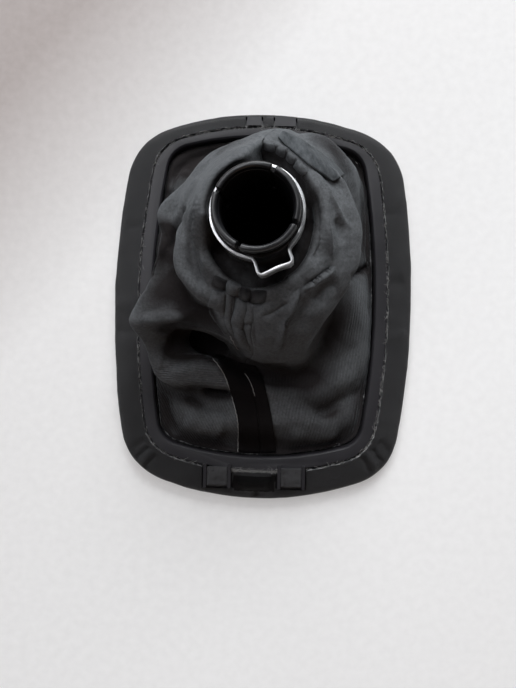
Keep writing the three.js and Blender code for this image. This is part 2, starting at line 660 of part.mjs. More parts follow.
// One half of the skin as a closed body; the two halves meet at the front and rear seams.
function skinHalf(skin, firstColumn) {
  const { grid, faces, rows, firstWrap } = skin;
  const span = HALF_COLUMNS;
  const points = [];
  const triangles = [];
  for (const side of [-1, 1]) {
    for (let i = 0; i <= span; i += 1) {
      const column = (firstColumn + i) % COLUMNS;
      const seam = Math.min(i, span - i);
      const inward = i === 0 ? 1 : -1;
      for (let row = 0; row < rows; row += 1) {
        const p = grid[column][row].clone();
        if (seam === 0) {
          const next = grid[(column + inward + COLUMNS) % COLUMNS][row];
          p.addScaledVector(next.clone().sub(p).normalize(), CLEARANCE / 2 + 0.03);
        }
        const front = row < 3 ? NECK_SKIN / 2 : HALF_SKIN;
        const half = side < 0 ? backThickness(row, seam, firstWrap) : front;
        points.push(p.addScaledVector(faces[column][row], side * half));
      }
    }
  }
  const back = (i, row) => i * rows + row;
  const face = (i, row) => (span + 1 + i) * rows + row;
  const quad = (a, b, c, d) => triangles.push(a, b, c, a, c, d);
  for (let i = 0; i < span; i += 1) {
    for (let row = 0; row < rows - 1; row += 1) {
      quad(face(i, row), face(i + 1, row), face(i + 1, row + 1), face(i, row + 1));
      quad(back(i, row), back(i, row + 1), back(i + 1, row + 1), back(i + 1, row));
    }
    quad(face(i, 0), back(i, 0), back(i + 1, 0), face(i + 1, 0));
    const last = rows - 1;
    quad(face(i, last), face(i + 1, last), back(i + 1, last), back(i, last));
  }
  for (let row = 0; row < rows - 1; row += 1) {
    quad(face(0, row), face(0, row + 1), back(0, row + 1), back(0, row));
    quad(face(span, row), back(span, row), back(span, row + 1), face(span, row + 1));
  }
  return geometryFrom(points, triangles);
}

// Notches in the flap that let the snap tabs and the rear lugs through.
function notches() {
  const cuts = TAB_CENTRES.map((centre) => box(
    centre - TAB_WIDTH / 2 - NOTCH_ROOM,
    centre + TAB_WIDTH / 2 + NOTCH_ROOM,
    TAB_INNER_Y - TAB_LENGTH - NOTCH_ROOM,
    TAB_INNER_Y + 2,
    TAB_FOOT - 0.2,
    TAB_TOP + 2,
  ));
  for (const [centre, width] of LUGS) {
    cuts.push(box(
      centre - width / 2 - NOTCH_ROOM,
      centre + width / 2 + NOTCH_ROOM,
      LUG_INNER_Y - 3,
      LUG_INNER_Y + LUG_LENGTH + NOTCH_ROOM,
      TAB_FOOT - 0.2,
      TAB_TOP + 2,
    ));
  }
  return cuts;
}

function skinPanel(name, skin, firstColumn) {
  let solid = toManifold(skinHalf(skin, firstColumn));
  for (const cut of notches()) {
    solid = solid.subtract(toManifold(cut));
  }
  return meshFrom(name, fromManifold(solid), leather);
}

// The whole object
const group = new THREE.Group();
const skin = skinGrid();
group.add(bezelFrame());
group.add(skinPanel('left_panel', skin, 0));
group.add(skinPanel('right_panel', skin, HALF_COLUMNS));
group.add(collar());
group.add(earClamp());

export default group;
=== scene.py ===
import math
import random

import bpy
import numpy as np
from mathutils import Matrix, Vector, noise
from mathutils.bvhtree import BVHTree


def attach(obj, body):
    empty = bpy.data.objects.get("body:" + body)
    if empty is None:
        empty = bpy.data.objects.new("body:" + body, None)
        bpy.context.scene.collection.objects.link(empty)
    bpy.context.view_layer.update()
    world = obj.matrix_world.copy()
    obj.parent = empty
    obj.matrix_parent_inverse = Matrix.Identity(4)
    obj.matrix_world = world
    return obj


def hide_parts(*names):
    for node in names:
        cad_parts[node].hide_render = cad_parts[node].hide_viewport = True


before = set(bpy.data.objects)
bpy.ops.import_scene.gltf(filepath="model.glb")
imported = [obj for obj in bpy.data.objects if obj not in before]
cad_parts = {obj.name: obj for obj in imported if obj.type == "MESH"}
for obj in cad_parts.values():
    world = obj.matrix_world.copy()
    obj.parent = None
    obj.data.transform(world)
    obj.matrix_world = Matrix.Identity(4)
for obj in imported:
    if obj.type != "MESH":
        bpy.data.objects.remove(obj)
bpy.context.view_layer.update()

# The dressed gear lever gaiter, lying inside out on a pale table.
MM = 0.001
BODY = "root"
random.seed(7)

# Sizes that the solids have too
BEZEL_HALF_WIDTH = 57.8
BEZEL_HALF_LENGTH = 75.0
SIDE_RADIUS = 312.0
END_RADIUS = 112.0
CORNER_RADIUS = 24.0
SIDE_BAND, REAR_BAND, FRONT_BAND = 9.8, 6.0, 11.0
CUT_CORNER_RADIUS = 16.0
SIDE_RING, REAR_RING, FRONT_RING = 14.8, 9.6, 16.6
OPENING_CORNER_RADIUS = 10.0
SKIN = 1.1
CLEARANCE = 0.3
SEAT = SKIN + CLEARANCE
SKIN_OUT = CLEARANCE + SKIN / 2
REBATE_TOP = 6.5
SHOULDER = 5.8
EDGE_TOP = 4.4
COLLAR_TOP = 70.0
COLLAR_X, COLLAR_Y = -3.3, 24.3
COLLAR_TILT = 4.0
RIM_HEIGHT = 4.5
NECK_RADIUS = 12.7
CLAMP_TOP, CLAMP_HEIGHT = 6.2, 7.0
ROLL = (-2.2, 24.3, 55.0)
ROLL_HALF = (18.6, 22.5)
TAB_CENTRES = (-16.0, 12.5)
TAB_WIDTH = 10.6
TAB_INNER_Y = -61.2
TAB_LENGTH = 9.0
LUGS = ((-5.2, 5.6), (6.8, 8.0))
LUG_INNER_Y = 69.6
LUG_LENGTH = 3.3
NOTCH_ROOM = 0.6
NOTCH_Z = (4.1, 11.4)

# Hollow between the two tabs: the moulding is cut away there, and the leather in it takes a
# darker material as painted shade
HOLLOW_GAP = 1.1         # from a tab's side
HOLLOW_Y, HOLLOW_Z = (-71.6, -63.4), (3.4, 12.0)
SHADED_X, SHADED_Y = (-9.8, 6.3), (-71.7, -65.4)

# The camera hangs nearly straight over the object; a place in the picture is counted in the
# photograph's own frame, from its top left corner.
PICTURE = (516, 688)
FOCAL = 602.0            # in the photograph's pixels
EYE = Vector((-1.95, -14.64, 240.0))
EYE_TURN = math.radians(1.5)


def eye_place():
    """The camera's place in millimetres, turned about the upright axis."""
    turned = Matrix.Rotation(EYE_TURN, 3, "Z") @ Vector((EYE.x, EYE.y, 0))
    return Vector((turned.x, turned.y, EYE.z))


def sight(px, py):
    """Direction from the camera through a place in the picture."""
    d = Vector(((px - PICTURE[0] / 2) / FOCAL, (PICTURE[1] / 2 - py) / FOCAL, -1))
    return (Matrix.Rotation(EYE_TURN, 3, "Z") @ d).normalized()


def set_camera():
    data = bpy.data.cameras.new("camera")
    camera = bpy.data.objects.new("camera", data)
    bpy.context.collection.objects.link(camera)
    camera.location = eye_place() * MM
    camera.rotation_euler = (0, 0, EYE_TURN)
    data.sensor_width = 36
    data.lens = FOCAL * data.sensor_width / PICTURE[1]
    data.clip_start = 0.01
    bpy.context.scene.camera = camera


# Outline of the bezel: each half runs from the rear middle down the left side to the front middle
# as five arcs, and every contour takes the same steps along its arcs.
def steps(count):
    """Even shares from 0 up to 1, without the 1."""
    return [i / count for i in range(count)]


END_STEPS, CORNER_STEPS, SIDE_STEPS = steps(36), steps(26), steps(72)


def arc(centre, start, end, along):
    """Points at shares of the shorter way round from start to end."""
    a0 = math.atan2(start.y - centre.y, start.x - centre.x)
    sweep = math.atan2(end.y - centre.y, end.x - centre.x) - a0
    sweep = (sweep + math.pi) % (2 * math.pi) - math.pi
    radius = (start - centre).length
    return [centre + radius * Vector((math.cos(a0 + sweep * t), math.sin(a0 + sweep * t)))
            for t in along]


def corner(side_centre, end_centre, side_radius, end_radius, radius, target):
    """The rounded corner between a side and an end: its centre, and where it meets both."""
    to_side, to_end = side_radius - radius, end_radius - radius
    line = end_centre - side_centre
    along = (to_side ** 2 - to_end ** 2 + line.length ** 2) / (2 * line.length)
    across = math.sqrt(to_side ** 2 - along ** 2)
    unit = line.normalized()
    foot = side_centre + unit * along
    away = Vector((-unit.y, unit.x)) * across
    centre = min(foot + away, foot - away, key=lambda c: (c - target).length)
    return (centre,
            end_centre + (centre - end_centre).normalized() * end_radius,
            side_centre + (centre - side_centre).normalized() * side_radius)


def contour(side_inset, rear_inset, front_inset, end_radius, corner_radius):
    """The bezel's outline, moved in by the insets, as points all the way round."""
    half_width = BEZEL_HALF_WIDTH - side_inset
    rear, front = BEZEL_HALF_LENGTH - rear_inset, BEZEL_HALF_LENGTH - front_inset
    side_radius = SIDE_RADIUS - side_inset
    side = Vector((side_radius - half_width, 0))
    rear_end, front_end = Vector((0, rear - end_radius)), Vector((0, end_radius - front))
    c1, end1, side1 = corner(side, rear_end, side_radius, end_radius, corner_radius,
                             Vector((-half_width, rear)))
    c2, end2, side2 = corner(side, front_end, side_radius, end_radius, corner_radius,
                             Vector((-half_width, -front)))
    half = (arc(rear_end, Vector((0, rear)), end1, END_STEPS)
            + arc(c1, end1, side1, CORNER_STEPS)
            + arc(side, side1, side2, SIDE_STEPS)
            + arc(c2, side2, end2, CORNER_STEPS)
            + arc(front_end, end2, Vector((0, -front)), END_STEPS + [1]))
    return np.array([tuple(p) for p in half + [Vector((-p.x, p.y)) for p in half[-2:0:-1]]])


OUTER = contour(0, 0, 0, END_RADIUS, CORNER_RADIUS)
CUT = contour(SIDE_BAND, REAR_BAND, FRONT_BAND, END_RADIUS, CUT_CORNER_RADIUS)
OPENING = contour(SIDE_RING, REAR_RING, FRONT_RING, END_RADIUS + 6, OPENING_CORNER_RADIUS)
COLUMNS = len(OUTER)


def unit_rows(a):
    return a / np.maximum(np.linalg.norm(a, axis=-1, keepdims=True), 1e-9)


def band_depths(column):
    """How far in from the outline the cut edge and the opening lie."""
    cut = float(np.linalg.norm(OUTER[column] - CUT[column]))
    return cut, cut + float(np.linalg.norm(CUT[column] - OPENING[column]))


def across_band(column, depth):
    """The place at a depth in from the outline."""
    cut, _ = band_depths(column)
    a, b, rest = ((OUTER[column], CUT[column], depth) if depth <= cut
                  else (CUT[column], OPENING[column], depth - cut))
    return a + (b - a) / np.linalg.norm(b - a) * rest


def wrap_line(column):
    """Middle of the skin over the moulding, as depth and height, from the wall of the opening
    under the floor and round the edge to the cut edge."""
    cut, opening = band_depths(column)
    line = np.array([
        (opening, SEAT + 2.2), (opening, SEAT + 1.2), (opening - 1.2, SEAT), (SEAT + 3.6, SEAT),
        (SEAT + 2.3, SEAT + 0.1), (SEAT + 0.9, SEAT + 0.6), (SEAT + 0.1, SEAT + 1.8),
        (SEAT + 0.1, EDGE_TOP), (SEAT + 0.8, EDGE_TOP + 0.6), (cut / 2, SHOULDER),
        (cut - CLEARANCE, REBATE_TOP)])
    way = unit_rows(np.diff(line, axis=0))
    arriving, leaving = np.vstack([way[:1], way]), np.vstack([way, way[-1:]])
    along = unit_rows(arriving + leaving)
    out = np.stack([-along[:, 1], along[:, 0]], axis=1)
    out /= np.sum(along * leaving, axis=1, keepdims=True)
    return line + out * SKIN_OUT


# Meshes
def mesh_piece(name, points, faces, materials):
    """A smooth piece from points in millimetres and faces."""
    mesh = bpy.data.meshes.new(name)
    mesh.from_pydata([tuple(p) for p in np.asarray(points) * MM], [], faces)
    mesh.validate()
    mesh.polygons.foreach_set("use_smooth", [True] * len(mesh.polygons))
    piece = bpy.data.objects.new(name, mesh)
    bpy.context.collection.objects.link(piece)
    for material in materials:
        mesh.materials.append(material)
    return piece


def carry(piece, slot, *nodes):
    """Makes a piece ride with the part in place of the nodes, which are hidden; the slot is not
    used.
    """
    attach(piece, BODY)
    if nodes:
        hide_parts(*nodes)
    return piece


def grid_faces(columns, rows, closed=False):
    """The faces of a grid, whose last column meets its first where it is closed."""
    wide = columns if closed else columns - 1
    return [(i * rows + j, i * rows + j + 1, (i + 1) % columns * rows + j + 1,
             (i + 1) % columns * rows + j) for i in range(wide) for j in range(rows - 1)]


def grid_normals(grid, closed=False):
    if closed:
        du = np.roll(grid, -1, axis=0) - np.roll(grid, 1, axis=0)
    else:
        du = np.gradient(grid, axis=0)
    dv = np.gradient(grid, axis=1)
    return unit_rows(np.cross(dv, du))


def select_only(piece):
    bpy.ops.object.select_all(action="DESELECT")
    piece.select_set(True)
    bpy.context.view_layer.objects.active = piece


def apply(piece, modifier):
    select_only(piece)
    bpy.ops.object.modifier_apply(modifier=modifier.name)


def thicken(piece, thickness, offset=0.0, inner=0, rim=0):
    """Gives a sheet its wall; inner and rim count how far down the materials those faces are."""
    wall = piece.modifiers.new("wall", "SOLIDIFY")
    wall.thickness = thickness * MM
    wall.offset = offset
    wall.material_offset = inner
    wall.material_offset_rim = rim
    wall.use_even_offset = False
    apply(piece, wall)


# Materials
class Finish:
    """One material and short ways to wire its nodes."""

    def __init__(self, name, colour, roughness, metallic=0.0, **sockets):
        self.material = bpy.data.materials.new(name)
        self.material.use_nodes = True
        self.tree = self.material.node_tree
        self.shader = self.tree.nodes["Principled BSDF"]
        self.set("Base Color", (*colour, 1))
        self.set("Roughness", roughness)
        self.set("Metallic", metallic)
        for key, value in sockets.items():
            self.set(key.replace("_", " "), value)
        self.material.diffuse_color = (*colour, 1)
        self.height = None

    def set(self, socket, value):
        self.shader.inputs[socket].default_value = value

    def node(self, kind, **values):
        n = self.tree.nodes.new(kind)
        for key, value in values.items():
            if hasattr(n, key):
                setattr(n, key, value)
            else:
                n.inputs[key.replace("_", " ")].default_value = value
        return n

    def link(self, a, b):
        self.tree.links.new(a, b)

    def place(self, scale=(1, 1, 1), turn=(0, 0, 0)):
        source = self.node("ShaderNodeTexCoord").outputs["Object"]
        mapping = self.node("ShaderNodeMapping")
        mapping.inputs["Scale"].default_value = scale
        mapping.inputs["Rotation"].default_value = turn
        self.link(source, mapping.inputs["Vector"])
        return mapping.outputs[0]

    def noise(self, scale, detail=2.0, roughness=0.5, vector=None):
        n = self.node("ShaderNodeTexNoise", Scale=scale, Detail=detail, Roughness=roughness)
        self.link(vector or self.place(), n.inputs["Vector"])
        return n.outputs["Fac"]

    def ramp(self, value, *stops):
        r = self.node("ShaderNodeValToRGB")
        elements = r.color_ramp.elements
        while len(elements) < len(stops):
            elements.new(0.5)
        for element, (position, colour) in zip(elements, stops):
            element.position = position
            element.color = (*colour, 1)
        self.link(value, r.inputs["Fac"])
        return r.outputs["Color"]

    def math(self, operation, a, b=0.0):
        m = self.node("ShaderNodeMath", operation=operation)
        for i, value in enumerate((a, b)):
            if isinstance(value, (int, float)):
                m.inputs[i].default_value = value
            else:
                self.link(value, m.inputs[i])
        return m.outputs[0]

    def mix(self, share, a, b, blend="MIX"):
        m = self.node("ShaderNodeMix", data_type="RGBA", blend_type=blend)
        for name, value in (("Factor", share), ("A", a), ("B", b)):
            socket = next(s for s in m.inputs if s.name == name and s.enabled)
            if isinstance(value, (int, float)):
                socket.default_value = value
            elif isinstance(value, tuple):
                socket.default_value = (*value, 1)
            else:
                self.link(value, socket)
        return next(s for s in m.outputs if s.enabled)

    def attribute(self, name):
        return self.node("ShaderNodeAttribute", attribute_name=name).outputs["Fac"]

    def colour(self, value):
        self.link(value, self.shader.inputs["Base Color"])

    def roughness(self, value, low, high):
        r = self.node("ShaderNodeMapRange", To_Min=low, To_Max=high)
        self.link(value, r.inputs["Value"])
        self.link(r.outputs[0], self.shader.inputs["Roughness"])

    def bump(self, value, depth):
        """Adds a relief of the given depth in millimetres."""
        b = self.node("ShaderNodeBump", Distance=depth * MM, Strength=1.0)
        self.link(value, b.inputs["Height"])
        if self.height:
            self.link(self.height, b.inputs["Normal"])
        self.height = b.outputs[0]
        self.link(self.height, self.shader.inputs["Normal"])


def grey(value):
    return (value,) * 3


def textile_finish():
    """Brushed knit on the back of the leather, with ribs where it is stretched, dark where the
    folds keep the light away."""
    f = Finish("brushed_knit", (0.086, 0.090, 0.096), 0.92, Sheen_Weight=0.16,
               Sheen_Roughness=0.45, Specular_IOR_Level=0.18)
    f.set("Sheen Tint", (0.62, 0.68, 0.72, 1))
    soft = f.noise(90, 4, 0.6)
    nap = f.noise(1000, 5, 0.75)
    ribs = f.attribute("rib_line")
    wave = f.math("SINE", f.math("MULTIPLY", ribs, 2 * math.pi))
    show = f.attribute("rib_show")
    broken = f.math("MULTIPLY", show, f.ramp(f.noise(420, 2), (0.3, grey(0.25)), (0.7, grey(1))))
    ribbed = f.math("MULTIPLY", wave, broken)
    tone = f.ramp(soft, (0.25, (0.088, 0.091, 0.096)), (0.75, (0.138, 0.144, 0.151)))
    tone = f.mix(0.5, tone, f.ramp(nap, (0.3, grey(0.30)), (0.72, grey(1.55))), "MULTIPLY")
    tone = f.mix(1.0, tone, f.math("ADD", 1.0, f.math("MULTIPLY", ribbed, 0.17)), "MULTIPLY")
    # painted shade: the knit darkens to near black where the shade attribute is high, in folds and
    # hollows
    deep = f.ramp(f.attribute("shade"), (0.20, grey(0)), (0.66, grey(0.95)))
    f.colour(f.mix(deep, tone, (0.014, 0.0105, 0.0105)))
    f.roughness(soft, 0.86, 0.98)
    f.bump(nap, 0.32)
    f.bump(ribbed, 0.10)
    return f.material


def coarse_finish():
    """The rough bonded backing of a seam allowance."""
    f = Finish("coarse_backing", (0.085, 0.092, 0.10), 0.95, Specular_IOR_Level=0.15)
    lumps = f.noise(520, 5, 0.75, f.place(scale=(1, 0.5, 1), turn=(0, 0, 0.9)))
    f.colour(f.ramp(lumps, (0.3, (0.045, 0.049, 0.053)), (0.7, (0.118, 0.126, 0.134))))
    f.bump(lumps, 0.5)
    return f.material


def leather_finish(name, light, dark, low, high, specular=0.5):
    """Grained leather: small cells with creases between them, between two tones and two
    roughnesses, and nearly black where the attribute says that no light reaches."""
    f = Finish(name, light, 0.6, Specular_IOR_Level=specular)
    cells = f.node("ShaderNodeTexVoronoi", feature="DISTANCE_TO_EDGE", Scale=1500)
    warp = f.mix(0.04, f.place(), f.node("ShaderNodeTexNoise", Scale=900).outputs["Color"])
    f.link(warp, cells.inputs["Vector"])
    grain = f.ramp(cells.outputs["Distance"], (0.0, grey(0)), (0.18, grey(1)))
    patches = f.noise(70, 4, 0.6)
    tone = f.mix(0.35, f.ramp(patches, (0.3, dark), (0.7, light)), grain, "MULTIPLY")
    # painted shade: the leather darkens to near black where the shade attribute is high
    f.colour(f.mix(f.attribute("shade"), tone, (0.0015, 0.0013, 0.0014)))
    f.roughness(patches, low, high)
    f.bump(grain, 0.05)
    f.bump(f.noise(380, 3), 0.12)
    return f.material


def cut_edge_finish():
    """Pale fibres of the backing showing at a cut edge, here and there."""
    f = Finish("cut_edge", (0.3, 0.3, 0.3), 0.95)
    fibres = f.noise(600, 4, 0.7)
    f.colour(f.ramp(fibres, (0.45, (0.05, 0.05, 0.053)), (0.62, (0.42, 0.42, 0.42))))
    f.bump(fibres, 0.2)
    return f.material


def plastic_finish():
    """Moulded plastic with a fine spark texture, a little uneven in tone and gloss."""
    f = Finish("moulded_plastic", (0.016, 0.015, 0.018), 0.42, Specular_IOR_Level=0.5)
    spark = f.noise(2600, 2, 0.6)
    patches = f.noise(60, 3, 0.6)
    f.colour(f.ramp(patches, (0.3, (0.0145, 0.0134, 0.0162)), (0.75, (0.023, 0.0214, 0.0250))))
    f.roughness(patches, 0.38, 0.52)
    f.bump(spark, 0.03)
    return f.material


def collar_finish():
    """Glossy plastic with faint waves from its mould."""
    f = Finish("gloss_plastic", (0.012, 0.012, 0.013), 0.34, Specular_IOR_Level=0.55)
    patches = f.noise(120, 3, 0.6)
    f.colour(f.ramp(patches, (0.3, (0.008, 0.008, 0.009)), (0.7, (0.015, 0.015, 0.017))))
    f.roughness(patches, 0.30, 0.40)
    f.bump(f.noise(700, 2), 0.008)
    return f.material


def steel_finish():
    """Rolled steel strip, with fine marks along it."""
    f = Finish("bright_steel", (0.80, 0.81, 0.82), 0.3, 1.0)
    marks = f.noise(120, 3, 0.6, f.place(scale=(1, 1, 14)))
    f.colour(f.ramp(marks, (0.3, (0.70, 0.71, 0.72)), (0.7, (0.86, 0.87, 0.88))))
    f.roughness(marks, 0.26, 0.38)
    f.bump(marks, 0.004)
    return f.material


def thread_finish(name, light, dark):
    """Twisted yarn, darker between its strands."""
    f = Finish(name, light, 0.7, Sheen_Weight=0.3)
    twist = f.noise(1800, 2, 0.6)
    f.colour(f.ramp(twist, (0.35, dark), (0.65, light)))
    f.bump(twist, 0.05)
    return f.material


# The table, in metres: its tone along a slope of x, y and a constant, the half size of the
# painted shadow inside the boot, and its glow to the camera
TABLE_SLOPE = (-2.8, 2.4, 0.4)
TABLE_TONES = ((0.1, (0.60, 0.593, 0.592)), (0.38, (0.56, 0.552, 0.550)),
               (0.62, (0.54, 0.53, 0.527)), (0.9, (0.26, 0.228, 0.219)))
TABLE_SHADOW_HALF = (0.048, 0.066)
TABLE_GLOW = 0.60


def table_finish():
    """Pale table that stays pale to the camera, keeps the object's shadow and is dark inside
    the boot, where no light comes."""
    f = Finish("pale_table", (0.6, 0.6, 0.6), 0.7, Specular_IOR_Level=0.2)
    split = f.node("ShaderNodeSeparateXYZ")
    f.link(f.place(), split.inputs[0])
    x, y = split.outputs["X"], split.outputs["Y"]
    slope = f.math("ADD", f.math("MULTIPLY", x, TABLE_SLOPE[0]),
                   f.math("MULTIPLY", y, TABLE_SLOPE[1]))
    slope = f.math("ADD", slope, TABLE_SLOPE[2])
    # painted shade: the table's tone darkens towards the rear left
    tone = f.mix(0.06, f.ramp(slope, *TABLE_TONES), f.noise(300, 3))
    around = f.math("ADD", f.math("POWER", f.math("MULTIPLY", x, 1 / TABLE_SHADOW_HALF[0]), 4),
                    f.math("POWER", f.math("MULTIPLY", y, 1 / TABLE_SHADOW_HALF[1]), 4))
    outside = f.math("GREATER_THAN", around, 1.0)
    # painted shadow: the table's colour is near black inside the boot's outline
    tone = f.mix(outside, (0.012, 0.012, 0.013), tone)
    f.colour(tone)
    # rays from the camera, straight or by way of gloss and glass, see it glow
    glow = f.node("ShaderNodeEmission")
    f.link(tone, glow.inputs["Color"])
    path = f.node("ShaderNodeLightPath")
    seen = f.math("MAXIMUM", path.outputs["Is Camera Ray"],
                  f.math("MAXIMUM", path.outputs["Is Glossy Ray"],
                         path.outputs["Is Transmission Ray"]))
    strength = f.math("MULTIPLY", f.math("MULTIPLY", seen, outside), TABLE_GLOW)
    f.link(strength, glow.inputs["Strength"])
    both = f.node("ShaderNodeAddShader")
    f.link(f.shader.outputs[0], both.inputs[0])
    f.link(glow.outputs[0], both.inputs[1])
    out = next(n for n in f.tree.nodes if n.type == "OUTPUT_MATERIAL")
    f.link(both.outputs[0], out.inputs["Surface"])
    return f.material


# Boot: twenty places round it, from the rear seam by the left side, each with eleven points from
# the roll at the neck down to just above the bezel.
FOLDS = np.array([
    [[-1, 49, 54], [1.5, 51.5, 52], [4, 53.5, 49], [3.5, 54, 43], [5.5, 57, 38], [6, 58, 32],
     [2.5, 57.5, 26], [4, 61, 19], [1, 60.5, 14], [1.5, 63.5, 10], [0.5, 63.5, 6.5]],
    [[-8.5, 47, 54], [-9, 48.5, 51], [-9.5, 49.5, 47], [-8.5, 49, 40], [-8.5, 49.5, 32],
     [-8.5, 51.5, 22], [-11, 55, 12], [-14, 59, 7], [-15.5, 60.5, 5], [-17, 61, 4.5],
     [-17.5, 62.5, 5]],
    [[-15, 43, 54], [-18, 43.5, 51], [-20, 44, 46], [-18.5, 43, 39], [-18.5, 43, 31],
     [-19.5, 44, 21], [-23, 47, 11], [-27.5, 52, 5], [-31, 54, 3.5], [-32.5, 55, 3.5],
     [-34.5, 56, 4.5]],
    [[-20, 38, 53], [-23, 37, 50], [-26, 37, 46], [-29, 35, 41], [-27, 33, 33], [-25.5, 33.5, 23],
     [-28.5, 37.5, 12], [-33.5, 41.5, 6.5], [-35.5, 42, 4.5], [-37, 41, 4], [-39, 40, 4]],
    [[-23, 30.5, 53], [-26.5, 28.5, 50], [-30, 28.5, 45], [-35, 27.5, 42], [-33.5, 24.5, 35],
     [-31.5, 23.5, 24], [-33.5, 24, 12], [-36.5, 24, 7], [-38, 23.5, 5.5], [-39.5, 22, 5],
     [-41, 21.5, 5]],
    [[-24.5, 24.5, 53], [-27, 20, 50], [-29.5, 18.5, 44], [-32, 19, 43], [-34.5, 17, 41],
     [-33.5, 12.5, 30], [-33.5, 10, 18], [-37.5, 7.5, 9], [-39, 5.5, 6.5], [-40, 4, 5.5],
     [-41.5, 3.5, 5]],
    [[-23.5, 15.5, 52], [-28.5, 10, 50], [-28, 9, 42], [-32.5, 8.5, 40], [-39.5, 2.5, 38],
     [-38.5, -4, 28], [-38.5, -8.5, 20], [-41, -11.5, 14], [-40, -13.5, 11], [-41, -14.5, 8],
     [-41, -15, 6]],
    [[-20.5, 7.5, 52], [-23.5, 2.5, 50], [-24, 1, 40], [-32, -1.5, 39], [-44, -8, 36],
     [-41, -15.5, 27], [-39.5, -23.5, 23], [-38, -27.5, 19], [-34.5, -30, 11],
     [-37.5, -32.5, 7.5], [-39.5, -33.5, 5]],
    [[-16, 2.5, 52], [-17.5, -1.5, 50], [-17.5, -3.5, 41], [-24.5, -4.5, 39], [-30, -6.5, 38],
     [-29.5, -12, 24], [-30.5, -20.5, 23], [-26.5, -28.5, 21], [-24.5, -32.5, 12],
     [-28, -40.5, 13], [-33.5, -48.5, 5.5]],
    [[-10, 0, 52], [-11.5, -4, 49], [-12.5, -8.5, 44], [-10.5, -13, 38], [-13.5, -13, 25],
     [-17.5, -16, 12], [-18, -21.5, 20], [-12, -29.5, 19], [-12, -33, 12], [-13, -42.5, 14],
     [-16.5, -52.5, 4.5]],
    [[-3, -1.5, 52], [-3.5, -6, 50], [-4, -11, 45], [-3, -15.5, 37], [-3.5, -19, 27],
     [-5.5, -20.5, 17], [-6.5, -24, 12], [-5.5, -29.5, 16], [-5, -35, 14], [-3, -44, 13],
     [-1, -54, 4.5]],
    [[5, -1, 53], [5.5, -6, 50], [6, -11.5, 45], [6, -16, 37], [6.5, -20, 27], [6.5, -22, 18],
     [7.5, -26, 13], [9.5, -31.5, 16], [11.5, -37, 15], [14.5, -44.5, 13], [17.5, -53, 4.5]],
    [[10.5, 2.5, 53], [11.5, -2.5, 50], [13, -9.5, 43], [13.5, -15.5, 34], [14, -18.5, 26],
     [15.5, -21, 19], [17.5, -24.5, 16], [21, -31, 17], [26, -38, 13], [28.5, -43, 12],
     [34, -49, 4.5]],
    [[15.5, 7.5, 53], [17.5, 3, 49], [20, -1.5, 45], [20.5, -5.5, 38], [19, -5, 30],
     [22, -8.5, 22], [26, -14.5, 20], [30.5, -20.5, 16], [34, -26, 13], [36.5, -30, 9],
     [39, -33, 4.5]],
    [[18.5, 15, 53], [21.5, 12, 50], [25, 9, 47], [28, 5.5, 42], [25.5, 6, 32], [26.5, 3.5, 25],
     [31, -1.5, 21], [35.5, -5.5, 15], [38.5, -10, 11], [39.5, -13, 9], [41, -14.5, 6]],
    [[19.5, 23, 54], [22.5, 20.5, 50], [26.5, 19, 48], [30.5, 18, 44], [28, 18.5, 33],
     [30, 16, 22], [34.5, 14, 15], [37.5, 10.5, 11], [39.5, 7, 8], [40.5, 4.5, 6],
     [41.5, 3.5, 4.5]],
    [[18.5, 31, 54], [22, 29.5, 51], [26, 27.5, 49], [30, 26.5, 45], [28, 27, 34],
     [30.5, 26.5, 22], [34.5, 26, 11], [37, 25, 7], [38.5, 24, 5.5], [39.5, 22.5, 4.5],
     [40.5, 21.5, 4.5]],
    [[15.5, 38, 54], [19, 36.5, 51], [22.5, 35.5, 49], [26.5, 34, 46], [24.5, 36, 36],
     [27.5, 37, 28], [32.5, 39, 18], [35.5, 40, 10], [37.5, 40, 6.5], [38.5, 40, 5],
     [39, 39.5, 4.5]],
    [[12.5, 42.5, 54], [15, 42, 53], [18.5, 41.5, 51], [22.5, 39.5, 48], [19, 44.5, 40],
     [22.5, 48, 33], [28, 50, 28], [31.5, 51.5, 19], [32.5, 54, 10], [33.5, 55.5, 5],
     [35, 57, 3.5]],
    [[6.5, 46, 54], [9, 47, 53], [12, 47, 52], [14, 46.5, 49], [11, 50, 41], [13.5, 54.5, 35],
     [18, 58, 30], [19.5, 58.5, 20], [17.5, 58.5, 14], [18.5, 60.5, 9], [18.5, 61.5, 6]],
], float)
PLACES = len(FOLDS)
COLUMNS_PER_PLACE = 20
ROWS_PER_KNOT = 12
# Neck above the folds: down the collar from its rim, out below the clamp and up into the roll.
# At the rear left the cloth rises outside the clamp instead: the degrees where that begins, is
# full, lessens and ends.
CLAMP_FOOT = -CLAMP_TOP - CLAMP_HEIGHT
ROLL_RINGS = ((0.87, ROLL[2] - 4.6), (1, ROLL[2]))
NECK_KNOTS = ((NECK_RADIUS, -RIM_HEIGHT - 0.8), (NECK_RADIUS, CLAMP_FOOT - 1),
              (NECK_RADIUS + 1.7, CLAMP_FOOT - 7.6))
HIGH_KNOTS = (*NECK_KNOTS[:2], (15.5, CLAMP_FOOT - 1.6), (15.25, -7.4), (16.4, -4.7))
HIGH_DEGREES = (84, 112, 184, 210)


def curve(before, start, end, after, t):
    """A place on the smooth curve from start to end, at t from 0 to 1."""
    return 0.5 * (2 * start + (end - before) * t
                  + (2 * before - 5 * start + 4 * end - after) * t * t
                  + (3 * start - before - 3 * end + after) * t ** 3)


def on_collar(radius, height, degrees):
    """A place round the tilted collar, its height counted from the collar's top."""
    a = math.radians(degrees)
    p = Vector((radius * math.cos(a), radius * math.sin(a), height))
    p.rotate(Matrix.Rotation(-math.radians(COLLAR_TILT), 3, "Y"))
    return p + Vector((COLLAR_X, COLLAR_Y, COLLAR_TOP))


